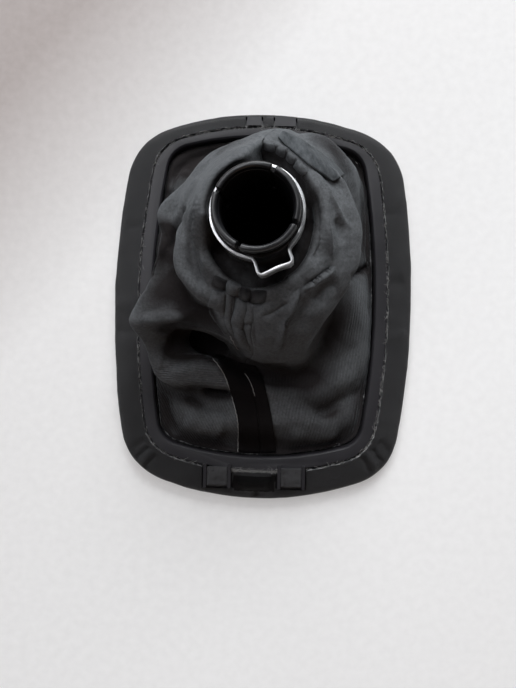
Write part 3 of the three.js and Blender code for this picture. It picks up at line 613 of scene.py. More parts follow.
def place_to_column():
    """For every column of the boot, how far along the contour's columns it lies."""
    loop = np.vstack([OPENING, OPENING[:1]])
    lengths = np.concatenate([[0], np.cumsum(np.linalg.norm(np.diff(loop, axis=0), axis=1))])
    count = PLACES * COLUMNS_PER_PLACE
    wanted = np.arange(count) / count * lengths[-1]
    return np.interp(wanted, lengths, np.arange(len(lengths)))


def wall_knots():
    """The two lowest knots, on the wall of the opening, for every column of the contour."""
    knots = []
    for column in range(COLUMNS):
        line = wrap_line(column)
        knots.append([(*across_band(column, line[k][0]), line[k][1]) for k in (0, 1)])
    return np.array(knots + knots[:1])


def boot_grid():
    """Middle of the boot's cloth as columns round it and rows down it."""
    wall = wall_knots()
    at = place_to_column()
    low = np.floor(at).astype(int)
    share = (at - low)[:, None, None]
    foot = wall[low] * (1 - share) + wall[low + 1] * share
    columns = []
    for i in range(PLACES * COLUMNS_PER_PLACE):
        place = i / COLUMNS_PER_PLACE
        degrees = 90 + 360 * place / PLACES
        angle = math.radians(degrees)
        oval = [(ROLL[0] + ROLL_HALF[0] * s * math.cos(angle),
                 ROLL[1] + ROLL_HALF[1] * s * math.sin(angle), z) for s, z in ROLL_RINGS]
        neck = [on_collar(radius, z, degrees) for radius, z in NECK_KNOTS] + oval
        high = [on_collar(radius, z, degrees) for radius, z in HIGH_KNOTS]
        rise = (smoothstep(*HIGH_DEGREES[:2], degrees)
                * (1 - smoothstep(*HIGH_DEGREES[2:], degrees)))
        neck = [Vector(a).lerp(Vector(b), rise) for a, b in zip(neck, high)]
        whole, part = divmod(i, COLUMNS_PER_PLACE)
        around = [FOLDS[(whole + k) % PLACES] for k in (-1, 0, 1, 2)]
        folds = curve(*around, part / COLUMNS_PER_PLACE)
        columns.append(np.vstack([[tuple(p) for p in neck], folds, foot[i]]))
    knots = np.array(columns)
    rows = []
    for k in range(knots.shape[1] - 2):
        before, after = knots[:, max(k - 1, 0)], knots[:, k + 2]
        for j in range(ROWS_PER_KNOT):
            rows.append(curve(before, knots[:, k], knots[:, k + 1], after, j / ROWS_PER_KNOT))
    rows.append(knots[:, -2])
    return np.stack(rows, axis=1)


# Strokes: ridges, creases and steps, given as places in the picture and dropped along the camera's
# sight onto the cloth.
def tree_of(grid):
    """The cloth of a closed grid, for finding where a ray meets it."""
    faces = grid_faces(*grid.shape[:2], True)
    return BVHTree.FromPolygons([tuple(p) for p in grid.reshape(-1, 3)], faces)


def dense(line, gap):
    """The same line with points no further apart than the gap."""
    points = [np.array(line[0], float)]
    for a, b in zip(line[:-1], line[1:]):
        a, b = np.array(a, float), np.array(b, float)
        count = max(1, int(np.ceil(np.linalg.norm(b - a) / gap)))
        points += [a + (b - a) * (i + 1) / count for i in range(count)]
    return np.array(points)


def rounded(line, gap=3.0):
    """A smooth line through given points."""
    p = np.array([line[0], *line, line[-1]], float)
    smooth = [curve(*p[i:i + 4], t) for i in range(len(line) - 1) for t in steps(6)]
    return dense(smooth + [p[-1]], gap)


def drop(tree, line, gap=1.0):
    """Points in the picture dropped onto the surface; those that miss it are left out."""
    eye, hits = eye_place(), []
    for px, py in rounded(line, gap):
        place = tree.ray_cast(eye, sight(px, py))[0]
        if place is not None:
            hits.append(tuple(place))
    return np.array(hits)


def smoothstep(a, b, x):
    """Rises softly from 0 at a to 1 at b."""
    t = np.clip((x - a) / (b - a), 0, 1)
    return t * t * (3 - 2 * t)


def press(grid, normals, strokes):
    """Moves the grid's points along their normals for every stroke: its kind, width and height
    in millimetres, and its line in the picture. A step rises on one side and sinks on the
    other."""
    tree = tree_of(grid)
    flat, out = grid.reshape(-1, 3), normals.reshape(-1, 3)
    shift = np.zeros(len(flat))
    for kind, width, height, line in strokes:
        path = drop(tree, line)
        if len(path) < 2:
            continue
        reach = 3.2 * width
        near = np.where(np.all((flat > path.min(0) - reach) & (flat < path.max(0) + reach),
                               axis=1))[0]
        if not len(near):
            continue
        gaps = np.linalg.norm(flat[near, None] - path[None], axis=2)
        best = np.argmin(gaps, axis=1)
        d = gaps[np.arange(len(near)), best] / width
        ends = smoothstep(0, 0.22, np.minimum(best, len(path) - 1 - best) / (len(path) - 1))
        if kind == "round":
            rise = np.exp(-d * d)
        elif kind == "sharp":
            rise = np.exp(-1.6 * d) * (d < 3.2)
        else:
            tangent = np.gradient(path, axis=0)[best]
            side = np.cross(tangent, out[near])
            towards = np.sign(np.sum((flat[near] - path[best]) * side, axis=1))
            rise = np.where(towards > 0, np.exp(-d * d), -0.45 * np.exp(-(1.7 * d) ** 2))
        shift[near] += height * rise * ends
    return grid + normals * shift.reshape(grid.shape[:2])[..., None]


def rumple(grid, normals, layers, seed):
    """Soft unevenness: layers of wavelength and depth."""
    flat = grid.reshape(-1, 3)
    shift = np.zeros(len(flat))
    for wavelength, depth in layers:
        start = Vector((seed, seed * 1.7, 3.1))
        shift += [depth * noise.noise(Vector(p) / wavelength + start) for p in flat]
    return grid + normals * shift.reshape(grid.shape[:2])[..., None]


BOOT_STROKES = [
    # trough round the collar
    ("round", 2.4, -3.2, [(209, 232), (213, 250), (222, 266), (236, 278), (254, 285), (272, 282),
                          (288, 271), (300, 256), (307, 238), (309, 214), (305, 192)]),
    # fan of folds from the clamp to the left
    ("sharp", 1.0, 1.7, [(205, 190), (198, 214), (199, 240), (206, 262), (214, 278)]),
    ("round", 1.5, -1.5, [(201, 196), (193, 220), (191, 250), (199, 276), (208, 292)]),
    ("sharp", 0.9, 1.0, [(192, 200), (186, 222), (184, 252), (192, 276)]),
    ("round", 1.7, -1.8, [(186, 204), (176, 230), (170, 256)]),
    # left lobe: ridge, hollow under it and the crease beside the lower facet
    ("sharp", 1.6, 1.9, [(140, 321), (158, 318), (180, 315), (204, 309)]),
    ("round", 4.5, -2.6, [(166, 338), (188, 336), (212, 334)]),
    ("round", 5.0, -5.0, [(190, 345), (210, 341), (230, 348)]),
    ("sharp", 1.3, 0.8, [(165, 345), (161, 358), (158, 371)]),
    # front seam bundle: grooves between its folds
    ("step", 1.4, 1.2, [(238, 348), (226, 328), (208, 304)]),
    ("round", 0.9, -1.3, [(209, 286), (226, 292), (238, 298), (250, 302), (267, 304)]),
    ("round", 0.8, -1.2, [(228, 279), (226, 292)]),
    ("round", 0.8, -1.4, [(240, 286), (235, 297), (233, 310), (229, 322), (236, 340)]),
    ("round", 0.8, -1.2, [(251, 289), (249, 302)]),
    ("round", 0.7, -1.0, [(225, 293), (225, 310), (229, 324)]),
    ("round", 0.8, -1.1, [(247, 303), (244, 316), (243, 329), (250, 348)]),
    ("round", 0.7, -1.0, [(229, 323), (242, 326), (253, 321)]),
    ("round", 0.8, -0.7, [(253, 305), (254, 322), (257, 345)]),
    ("sharp", 0.8, -0.9, [(260, 316), (275, 311), (290, 301)]),
    # cone in front of the collar
    ("step", 1.6, 1.3, [(300, 286), (290, 315), (277, 352)]),
    ("round", 2.6, -1.2, [(308, 292), (299, 320), (287, 348)]),
    ("round", 2.4, 0.9, [(262, 300), (268, 322), (266, 344)]),
    # folds at the right of the collar
    ("sharp", 1.4, 1.5, [(310, 168), (320, 182), (330, 201), (342, 220), (352, 230)]),
    ("sharp", 1.1, 1.5, [(322, 186), (325, 200), (327, 224), (329, 246), (332, 262)]),
    ("round", 2.2, -0.8, [(334, 216), (338, 230), (342, 246)]),
    ("round", 2.0, -1.5, [(315, 186), (318, 214), (319, 244), (312, 268)]),
    ("step", 1.8, 1.5, [(302, 289), (318, 277), (334, 266)]),
    ("round", 2.6, -1.5, [(340, 282), (322, 292), (312, 304)]),
    # skirt on the right
    ("round", 1.5, -2.2, [(349, 280), (361, 271), (372, 265)]),
    ("round", 4.0, -2.4, [(312, 420), (342, 404), (370, 382)]),
    ("round", 4.4, 1.5, [(298, 400), (328, 386), (356, 362)]),
    ("round", 4.4, 1.4, [(285, 432), (315, 437), (342, 430)]),
    # ledge and skirt on the left
    ("round", 2.4, 1.6, [(170, 373), (190, 368), (212, 368), (224, 377)]),
    ("sharp", 1.0, 0.9, [(160, 369), (168, 363), (185, 358), (212, 358)]),
    ("round", 1.5, -2.6, [(200, 389), (216, 391), (234, 394)]),
    ("round", 2.4, -2.0, [(184, 390), (207, 407), (237, 417)]),
    ("round", 4.8, 2.2, [(184, 414), (205, 425), (228, 430)]),
    ("round", 2.6, -1.8, [(166, 388), (168, 412), (180, 437)]),
    # deep cloth behind the upper left lobe
    ("round", 2.2, 1.2, [(170, 196), (180, 182), (192, 172)]),
]


def displace_boot(grid):
    """The cloth with its strokes, crumpled in three sizes."""
    normals = grid_normals(grid, True)
    grid = press(grid, normals, BOOT_STROKES)
    normals = grid_normals(grid, True)
    return rumple(grid, normals, ((11, 0.8), (4.6, 0.36), (1.9, 0.11)), 5)


def between(value, low, high, soft):
    """One between low and high, falling softly to nothing outside them."""
    rise, fall = (smoothstep(edge - soft, edge + soft, value) for edge in (low, high))
    return rise * (1 - fall)


def rib_fields(grid):
    """The line that the knit's ribs follow, and how much they show. A patch of ribs is bounded
    by the boot's places and knots."""
    columns, rows = grid.shape[:2]
    place = np.arange(columns)[:, None] / COLUMNS_PER_PLACE + np.zeros((1, rows))
    knot = np.arange(rows)[None] / ROWS_PER_KNOT + np.zeros((columns, 1))
    x, y = grid[..., 0], grid[..., 1]
    right = between(place, 10.6, 15.0, 0.3) * between(knot, 11.0, 15.6, 0.4)
    fan = 0.35 * between(place, 5.2, 8.0, 0.3) * between(knot, 5.5, 8.0, 0.3)
    ledge = between(place, 6.6, 9.8, 0.2) * between(knot, 10.9, 12.4, 0.3)
    left = between(place, 6.2, 9.8, 0.3) * between(knot, 13.1, 15.6, 0.3)
    line = np.where(ledge > 0.5, (y + 0.08 * x) / 0.8,
                    np.where(left > 0.05, (x + 0.55 * y) / 1.1,
                             (x - 0.10 * y + 0.0009 * y * y) / 1.2))
    line = line + [[0.22 * noise.noise(Vector(p) / 7) for p in column] for column in grid]
    show = np.clip(right + ledge + left + fan, 0, 1)
    return line, show


def paint(piece, name, values):
    """Stores a number for every point, for the materials."""
    layer = piece.data.attributes.new(name, "FLOAT", "POINT")
    layer.data.foreach_set("value", np.asarray(values, np.float32).ravel())


def sphere_ways(count):
    """Directions spread evenly over the sphere."""
    k = np.arange(count) + 0.5
    z = 1 - 2 * k / count
    turn = k * math.pi * (3 - math.sqrt(5))
    flat = np.sqrt(1 - z * z)
    return np.stack([flat * np.cos(turn), flat * np.sin(turn), z], axis=1)


def around_tree(grid):
    """The cloth together with the rigid pieces, in millimetres, for enclosure."""
    points = [tuple(p) for p in grid.reshape(-1, 3)]
    faces = grid_faces(*grid.shape[:2], True)
    for piece in (FRAME, COLLAR, CLAMP):
        first = len(points)
        points += [tuple(v.co / MM) for v in piece.data.vertices]
        faces += [tuple(first + i for i in f.vertices) for f in piece.data.polygons]
    return BVHTree.FromPolygons(points, faces)


# Enclosure: how far and in how many directions it looks, how flat a direction it leaves out, and
# how far off the cloth it starts
REACH, LOOKS, GRAZING, LOOK_START = 30.0, 44, 0.15, SKIN / 2 + 0.15


def enclosure(tree, points, normals):
    """How much of what a place could see within reach is other cloth or a rigid piece."""
    ways = sphere_ways(LOOKS)
    shade = []
    for p, n in zip(points, normals):
        facing = ways @ n
        start = Vector(p + n * LOOK_START)
        blocked = total = 0.0
        for k in np.where(facing > GRAZING)[0]:
            total += facing[k]
            place, _, _, distance = tree.ray_cast(start, Vector(ways[k]), REACH)
            if place is not None:
                blocked += facing[k] * (1 - 0.5 * distance / REACH)
        shade.append(blocked / total)
    return np.array(shade)


def deepened(points, shade, tree, places):
    """Adds painted shade at soft dark places: place in the picture, radius in millimetres, amount.
    """
    for x, y, radius, amount in places:
        middle = tree.ray_cast(eye_place(), sight(x, y))[0]
        if middle is None:
            continue
        far = np.linalg.norm(points - np.array(middle), axis=-1) / radius
        shade = shade + amount * np.exp(-far ** 2)
    return np.clip(shade, 0, 1)


# Painted shade at deep places in the cloth that little light reaches: place in the picture,
# radius in millimetres, amount
DEEP_PLACES = (
    (180, 327, 6.5, 0.34), (196, 322, 6.5, 0.28), (210, 320, 6.5, 0.34), (186, 336, 6.0, 0.25),
    (206, 334, 7.5, 0.34), (222, 338, 8.0, 0.40), (236, 350, 6.0, 0.45), (246, 362, 5.0, 0.40),
    (178, 163, 8.0, 0.34), (192, 157, 8.0, 0.32), (206, 153, 8.0, 0.30), (222, 149, 7.0, 0.30),
    (238, 144, 6.0, 0.26), (162, 228, 5.0, 0.36), (164, 237, 5.5, 0.44),
    (161, 247, 5.5, 0.46), (158, 258, 5.0, 0.42), (352, 160, 6.0, 0.32), (358, 171, 6.5, 0.36),
    (363, 184, 6.5, 0.38), (364, 197, 6.5, 0.46), (366, 214, 6.5, 0.44), (369, 236, 6.5, 0.42),
    (368, 252, 6.0, 0.50), (361, 264, 4.0, 0.50), (345, 272, 4.0, 0.20),
    (270, 372, 7.0, 0.35), (290, 370, 7.0, 0.25), (262, 440, 9.0, 0.35), (300, 446, 9.0, 0.30),
    (205, 440, 8.0, 0.20), (166, 395, 6.0, 0.30), (164, 415, 6.0, 0.26), (176, 276, 7.5, 0.30),
    (190, 290, 7.5, 0.32), (160, 290, 7.5, 0.24), (345, 300, 10.0, 0.30), (350, 325, 10.0, 0.32),
    (320, 400, 10.0, 0.24), (345, 425, 10.0, 0.26), (322, 138, 8.0, 0.40), (340, 156, 7.0, 0.42),
    (185, 400, 9.0, 0.18), (150, 305, 8.0, 0.36), (190, 200, 9.0, 0.18), (306, 128, 8.0, 0.30),
    (330, 350, 10.0, 0.26), (310, 380, 9.0, 0.20), (200, 385, 8.0, 0.10),
    (162, 327, 3.6, 0.34), (172, 326, 3.6, 0.44), (182, 324, 3.6, 0.50), (192, 321, 3.6, 0.50),
    (202, 319, 3.6, 0.50), (211, 321, 3.6, 0.50), (220, 329, 3.8, 0.50), (231, 344, 4.2, 0.45),
    (166, 350, 4.0, 0.34), (176, 349, 4.2, 0.42), (187, 350, 4.2, 0.46), (198, 353, 4.2, 0.46),
)
# More painted shade for cloth lower than LOW_TOP, all of it from LOW_DEPTH further down
LOW_SHADE, LOW_TOP, LOW_DEPTH = 0.20, 28.0, 20.0


def boot_shade(grid):
    """Enclosure on every second column and row, filled in between them, with more of it low
    down behind the wall of the bezel and in the deep places."""
    normals = grid_normals(grid, True)
    some = grid[::2, ::2]
    values = enclosure(AROUND, some.reshape(-1, 3), normals[::2, ::2].reshape(-1, 3))
    values = values.reshape(some.shape[:2])
    full = np.empty(grid.shape[:2])
    full[::2, ::2] = values
    full[1::2, ::2] = (values + np.roll(values, -1, axis=0)) / 2
    full[:, 1:-1:2] = (full[:, :-2:2] + full[:, 2::2]) / 2
    for _ in range(2):
        full[:, 1:-1] = (full[:, :-2] + 2 * full[:, 1:-1] + full[:, 2:]) / 4
        full = (np.roll(full, 1, axis=0) + 2 * full + np.roll(full, -1, axis=0)) / 4
    # painted shade: more of it for low cloth and at the deep places
    full = full + LOW_SHADE * np.clip((LOW_TOP - grid[..., 2]) / LOW_DEPTH, 0, 1)
    return deepened(grid, full, tree_of(grid), DEEP_PLACES)


def boot_panel(name, node, grid, columns, materials):
    """One of the boot's two panels, as the columns of the cloth that belong to it."""
    part = grid[columns]
    piece = mesh_piece(name, part.reshape(-1, 3), grid_faces(*part.shape[:2]), materials)
    line, show = RIBS
    paint(piece, "rib_line", line[columns])
    paint(piece, "rib_show", show[columns])
    paint(piece, "shade", SHADE[columns])
    thicken(piece, SKIN, inner=1, rim=1)
    return carry(piece, "skin", node)


# Leather wrapped round the moulding, with this many rows between the places of wrap_line
ROWS_PER_WRAP = (2, 3, 8, 3, 3, 3, 4, 3, 9, 9)

COVER_STROKES = [
    # pleats at the front corners
    ("sharp", 1.0, -1.5, [(140, 463), (147, 456), (153, 449)]),
    ("sharp", 1.1, 1.3, [(135, 459), (143, 453), (150, 445)]),
    ("sharp", 1.1, 1.1, [(145, 467), (152, 460), (158, 453)]),
    ("round", 1.6, 0.7, [(128, 452), (138, 444), (148, 438)]),
    ("sharp", 1.0, -1.4, [(377, 470), (371, 461), (365, 451)]),
    ("sharp", 1.1, 1.2, [(383, 464), (377, 456), (371, 447)]),
    ("sharp", 1.1, 1.0, [(370, 473), (365, 464), (360, 455)]),
    ("round", 1.8, 0.6, [(392, 458), (385, 448), (378, 440)]),
    # hollow between the tabs and the front seam
    ("round", 2.4, -3.0, [(238, 481), (248, 482), (262, 482), (272, 481)]),
    ("sharp", 0.8, -0.6, [(251, 497), (251, 488)]),
    ("sharp", 0.8, -0.6, [(261, 497), (261, 488)]),
    ("round", 1.2, 0.5, [(256, 499), (256, 488)]),
    # rear seam
    ("sharp", 0.6, -0.6, [(262, 115), (262, 126)]),
    ("sharp", 0.6, -0.6, [(269, 115), (269, 126)]),
    ("round", 0.8, 0.5, [(265.5, 115), (265.5, 126)]),
    # slack places along the sides
    ("round", 1.2, 0.5, [(116, 330), (126, 332), (138, 331)]),
    ("round", 2.2, -0.5, [(118, 300), (128, 303), (136, 302)]),
    ("round", 1.2, 0.45, [(400, 210), (390, 214), (380, 214)]),
    ("round", 1.6, -0.5, [(406, 330), (396, 336), (386, 338)]),
    ("round", 2.4, 0.5, [(404, 280), (394, 284), (384, 284)]),
    ("round", 1.4, 0.5, [(125, 230), (135, 226), (145, 224)]),
]

# Painted shade at places in the hollow between the tabs, given as in DEEP_PLACES
TAB_HOLLOW_SHADE = ((236, 479, 2.0, 0.8), (242, 480, 2.2, 0.6), (248, 480, 2.2, 0.6),
                (254, 481, 2.2, 0.6), (260, 480, 2.2, 0.6), (266, 480, 2.2, 0.6),
                (272, 479, 2.0, 0.8), (254, 490, 6.0, 0.30))


def cover_grid():
    """Middle of the cover's leather, as columns round the bezel and rows across its wrap."""
    columns = []
    for column in range(COLUMNS):
        line = wrap_line(column)
        ends = np.vstack([line[:1], line, line[-1:]])
        path = [curve(*ends[k:k + 4], t)
                for k, count in enumerate(ROWS_PER_WRAP) for t in steps(count)]
        path.append(line[-1])
        columns.append([(*across_band(column, d), z) for d, z in path])
    return np.array(columns)


def rag_edge(grid):
    """Makes the cut edge of the flap uneven, less so in each of the three rows behind it."""
    inward = unit_rows(OPENING - CUT)
    for column in range(COLUMNS):
        p = Vector((*CUT[column], 0))
        out = 0.28 * noise.noise(p / 2.1) + 0.3 * noise.noise(p / 0.7) + 0.25 * noise.noise(p / 9)
        lift = 0.12 * noise.noise(p / 3.3 + Vector((4, 4, 4)))
        for back in range(4):
            share = 1 - back / 4
            grid[column, -1 - back, :2] += inward[column] * out * share
            grid[column, -1 - back, 2] += lift * share
    return grid


def box_cutter(low, high):
    """A box between two corners, to be cut out of a piece."""
    bpy.ops.object.select_all(action="DESELECT")
    bpy.ops.mesh.primitive_cube_add(size=1, location=[(a + b) / 2 * MM for a, b in zip(low, high)])
    cutter = bpy.context.object
    cutter.scale = [(b - a) * MM for a, b in zip(low, high)]
    bpy.ops.object.transform_apply(location=True, rotation=True, scale=True)
    return cutter


def cut_with(piece, cutter):
    cut = piece.modifiers.new("cut", "BOOLEAN")
    cut.operation = "DIFFERENCE"
    cut.solver = "MANIFOLD"
    cut.object = cutter
    apply(piece, cut)
    bpy.data.objects.remove(cutter)


def leather_cover(materials):
    """The whole cover, with slots where the tabs and the lugs come through it."""
    grid = rag_edge(cover_grid())
    normals = grid_normals(grid, True)
    grid = press(grid, normals, COVER_STROKES)
    top = grid[..., 2] > EDGE_TOP
    normals = grid_normals(grid, True) * np.where(top, 1.0, 0.35)[..., None]
    grid = rumple(grid, normals, ((14, 0.3), (5, 0.16), (2.2, 0.06)), 2)
    piece = mesh_piece("leather_cover", grid.reshape(-1, 3),
                       grid_faces(COLUMNS, grid.shape[1], True), materials)
    # painted shade: the leather darkens to near black at the places in the hollow between the tabs
    paint(piece, "shade", deepened(grid.reshape(-1, 3), 0.0, tree_of(grid), TAB_HOLLOW_SHADE))
    thicken(piece, SKIN, rim=1)
    tabs = [(centre, TAB_WIDTH, TAB_INNER_Y - TAB_LENGTH - NOTCH_ROOM, TAB_INNER_Y + 2)
            for centre in TAB_CENTRES]
    lugs = [(centre, width, LUG_INNER_Y - 3, LUG_INNER_Y + LUG_LENGTH + NOTCH_ROOM)
            for centre, width in LUGS]
    for centre, width, front, rear in tabs + lugs:
        half = width / 2 + NOTCH_ROOM
        cut_with(piece, box_cutter((centre - half, front, NOTCH_Z[0]),
                                   (centre + half, rear, NOTCH_Z[1])))
    # painted shade: the leather's upward faces in the hollow between the tabs take the darker
    # allowance leather
    for polygon in piece.data.polygons:
        x, y, _ = polygon.center / MM
        if (SHADED_X[0] < x < SHADED_X[1] and SHADED_Y[0] < y < SHADED_Y[1]
                and polygon.normal.z > 0.2):
            polygon.material_index = 2
    return carry(piece, "skin", "left_panel", "right_panel")


# Rigid pieces, begun from a merged copy of their solid, whose edges sharper than BEVEL_ANGLE are
# bevelled
MERGE, FLAT_ANGLE, BEVEL_ANGLE = 1e-6, math.radians(0.6), math.radians(28)
BAND_GROWTH, CHANNEL_RIM, CHANNEL_DEPTH = 0.7, 1.7, 0.5


def channel_band():
    """Thickens the copied band outward and sinks the middle of its outer face."""
    piece = bpy.context.object
    bpy.ops.object.mode_set(mode="OBJECT")
    middle = Vector((COLLAR_X, COLLAR_Y, 0)) * MM
    for polygon in piece.data.polygons:
        out = Vector((polygon.center.x - middle.x, polygon.center.y - middle.y, 0))
        polygon.select = abs(polygon.normal.z) < 0.6 and polygon.normal.dot(out) > 0
    bpy.ops.object.mode_set(mode="EDIT")
    bpy.ops.transform.shrink_fatten(value=BAND_GROWTH * MM)
    bpy.ops.mesh.inset(thickness=CHANNEL_RIM * MM, depth=-CHANNEL_DEPTH * MM)


def dressed_copy(node, name, material, slot, bevel, smooth=35, segments=2, shape=None):
    """A merged and bevelled copy of a solid that stands for it; shape may change it first."""
    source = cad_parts[node]
    piece = source.copy()
    piece.data = source.data.copy()
    piece.name = name
    for key in list(piece.keys()):
        del piece[key]
    bpy.context.collection.objects.link(piece)
    select_only(piece)
    bpy.ops.object.mode_set(mode="EDIT")
    bpy.ops.mesh.select_all(action="SELECT")
    bpy.ops.mesh.remove_doubles(threshold=MERGE)
    bpy.ops.mesh.dissolve_limited(angle_limit=FLAT_ANGLE)
    if shape:
        shape()
    bpy.ops.object.mode_set(mode="OBJECT")
    edges = piece.modifiers.new("edges", "BEVEL")
    edges.width = bevel * MM
    edges.segments = segments
    edges.limit_method = "ANGLE"
    edges.angle_limit = BEVEL_ANGLE
    edges.use_clamp_overlap = True
    apply(piece, edges)
    bpy.ops.object.shade_smooth_by_angle(angle=math.radians(smooth))
    piece.data.materials.clear()
    piece.data.materials.append(material)
    return carry(piece, slot, node)


# Thin things
def tube(points, radius, sides):
    """A thin round strand along points, with closed and narrower ends."""
    points = np.asarray(points, float)
    way = unit_rows(np.gradient(points, axis=0))
    up = np.array([0.03, 0.02, 1.0])
    verts, faces = [], []
    for i, (p, d) in enumerate(zip(points, way)):
        a = unit_rows(np.cross(d, up) if abs(d[2]) < 0.95 else np.cross(d, [1, 0, 0]))
        b = np.cross(d, a)
        r = radius * (0.45 if i in (0, len(points) - 1) else 1)
        for k in range(sides):
            t = 2 * math.pi * k / sides
            verts.append(p + r * (math.cos(t) * a + math.sin(t) * b))
    for i in range(len(points) - 1):
        for k in range(sides):
            n = (k + 1) % sides
            faces.append((i * sides + k, i * sides + n, (i + 1) * sides + n, (i + 1) * sides + k))
    faces.append(tuple(range(sides))[::-1])
    faces.append(tuple((len(points) - 1) * sides + k for k in range(sides)))
    return verts, faces


def join_parts(parts):
    """Several meshes as one list of points and one of faces."""
    verts, faces = [], []
    for v, f in parts:
        faces += [tuple(i + len(verts) for i in face) for face in f]
        verts += list(v)
    return verts, faces


# Fibres of the cut edge: how many are tried, how many of them between the tabs, the share that
# is kept away from the tabs and the right side, and where that side begins
FIBRES, FIBRES_BETWEEN_TABS, FIBRES_KEPT = 1900, 280, 0.38
RIGHT_SIDE_X, RIGHT_SIDE_Y = 40, 40
BETWEEN_TABS = [c for c in range(COLUMNS)
                if CUT[c][1] < 0 and TAB_CENTRES[0] + 4 < CUT[c][0] < TAB_CENTRES[1] - 4]


def cut_edge_fibres(material):
    """Short pale fibres that stand out of the flap's cut edge, thickest between the tabs and
    along the right side."""
    parts = []
    for number in range(FIBRES):
        column = (random.choice(BETWEEN_TABS) if number < FIBRES_BETWEEN_TABS
                  else random.randrange(COLUMNS))
        x, y = CUT[column]
        between_tabs = column in BETWEEN_TABS
        right_side = x > RIGHT_SIDE_X and y < RIGHT_SIDE_Y
        if not (between_tabs or right_side or random.random() < FIBRES_KEPT):
            continue
        longer = 1.5 if between_tabs else 1.0
        inward = OPENING[column] - CUT[column]
        inward /= np.linalg.norm(inward)
        along = np.array([-inward[1], inward[0]])
        start = (CUT[column] + inward * random.uniform(-0.9, 0.1)
                 + along * random.uniform(-0.6, 0.6))
        z = REBATE_TOP + SKIN_OUT + random.uniform(-0.1, 0.7)
        length, lean, rise = (longer * random.uniform(0.3, 1.2), random.uniform(-1.4, 1.4),
                              random.uniform(-0.2, 0.6))
        points = []
        for t in (0, 0.35, 0.7, 1):
            curl = 0.35 * length * math.sin(2.5 * t + number)
            flat = start + inward * (length * t + curl) + along * length * lean * t * (0.6 + t)
            points.append((*flat, z + rise * t * (1.4 - t)))
        parts.append(tube(points, random.uniform(0.03, 0.07), 3))
    carry(mesh_piece("cut_edge_fibres", *join_parts(parts), [material]), "skin")


# Patches laid on the cloth between two given lines, smoothed this often and with this much of the
# shade there
SMOOTHINGS, PATCH_SHADE = 6, 0.65


def filled(grid):
    """Gives each place that missed the cloth the place of its nearest neighbour that hit it."""
    hit = ~np.isnan(grid[..., 0])
    known = np.argwhere(hit)
    for i, j in np.argwhere(~hit):
        k = known[np.argmin(np.sum((known - (i, j)) ** 2, axis=1))]
        grid[i, j] = grid[k[0], k[1]]
    return grid


def patch(name, left, right, lift, crown, swell, thickness, across, along, seed, materials):
    """A strip between two lines in the picture, with this many points across and along it. It
    is lifted off the cloth, more in its middle by the crown, and swells unevenly."""
    a, b = rounded(left, 0.5), rounded(right, 0.5)
    rows = []
    eye = eye_place()
    for i in range(along):
        t = i / (along - 1)
        p = a[int(round(t * (len(a) - 1)))]
        q = b[int(round(t * (len(b) - 1)))]
        row = []
        for j in range(across):
            s = j / (across - 1)
            place, normal, _, _ = CLOTH.ray_cast(eye, sight(*(p + (q - p) * s)))
            if place is None:
                row.append((np.nan,) * 3)
                continue
            up = normal if normal.z > 0 else -normal
            edge = (1 - abs(2 * s - 1) ** 3) * (1 - abs(2 * t - 1) ** 7)
            bulge = crown * edge + swell * noise.noise(Vector((i / 5, j / 3, seed)))
            row.append(tuple(place + up * (lift + bulge)))
        rows.append(row)
    grid = filled(np.array(rows, float))
    for _ in range(SMOOTHINGS):
        inner = grid.copy()
        inner[1:-1] = (grid[:-2] + 2 * grid[1:-1] + grid[2:]) / 4
        inner[:, 1:-1] = (inner[:, :-2] + 2 * inner[:, 1:-1] + inner[:, 2:]) / 4
        grid = inner
    normals = grid_normals(grid)
    if np.mean(normals[..., 2]) < 0:
        grid = grid[:, ::-1]
        normals = -normals[:, ::-1]
    piece = mesh_piece(name, grid.reshape(-1, 3), grid_faces(along, across), materials)
    # painted shade: each patch darkens with its enclosure, scaled by PATCH_SHADE
    shade = enclosure(AROUND, grid.reshape(-1, 3), normals.reshape(-1, 3))
    paint(piece, "shade", PATCH_SHADE * shade)
    thicken(piece, thickness, offset=1, rim=1)
    return carry(piece, "skin")


# Leather in the tabs: middle and half size, height, and points along a side
FILLING_Y, FILLING_HALF, FILLING_Z, FILLING_POINTS = TAB_INNER_Y - 4.6, (3.9, 3.6), 8.3, 16


def tab_filling(name, centre, seed, material):
    """Leather crumpled up inside an open tab."""
    side = np.linspace(-1, 1, FILLING_POINTS)
    grid = np.array([[(centre + FILLING_HALF[0] * a, FILLING_Y + FILLING_HALF[1] * b,
                       FILLING_Z + 0.5 * (1 - a * a) * (1 - b * b)
                       + 0.45 * noise.noise(Vector((1.6 * a, 1.6 * b, seed))))
                      for a in side] for b in side])
    if np.mean(grid_normals(grid)[..., 2]) < 0:
        grid = grid[:, ::-1]
    piece = mesh_piece(name, grid.reshape(-1, 3), grid_faces(FILLING_POINTS, FILLING_POINTS),
                       [material])
    thicken(piece, SKIN)
    return carry(piece, "skin")


def laid_thread(name, line, radius, lift, wave, material):
    """A thread along a line in the picture, lifted off the cloth and waving a little."""
    path = drop(CLOTH, line, 1.2)
    points = [p + np.array([wave * noise.noise(Vector((i / 3, 1, 0))),
                            wave * noise.noise(Vector((1, i / 3, 5))), lift])
              for i, p in enumerate(path)]
    carry(mesh_piece(name, *tube(points, radius, 5), [material]), "skin")


# Floor and light, in metres
def table(material):
    bpy.ops.object.select_all(action="DESELECT")
    bpy.ops.mesh.primitive_plane_add(size=3, location=(0, 0, 0))
    floor = bpy.context.object
    floor.name = "table"
    floor.data.materials.append(material)


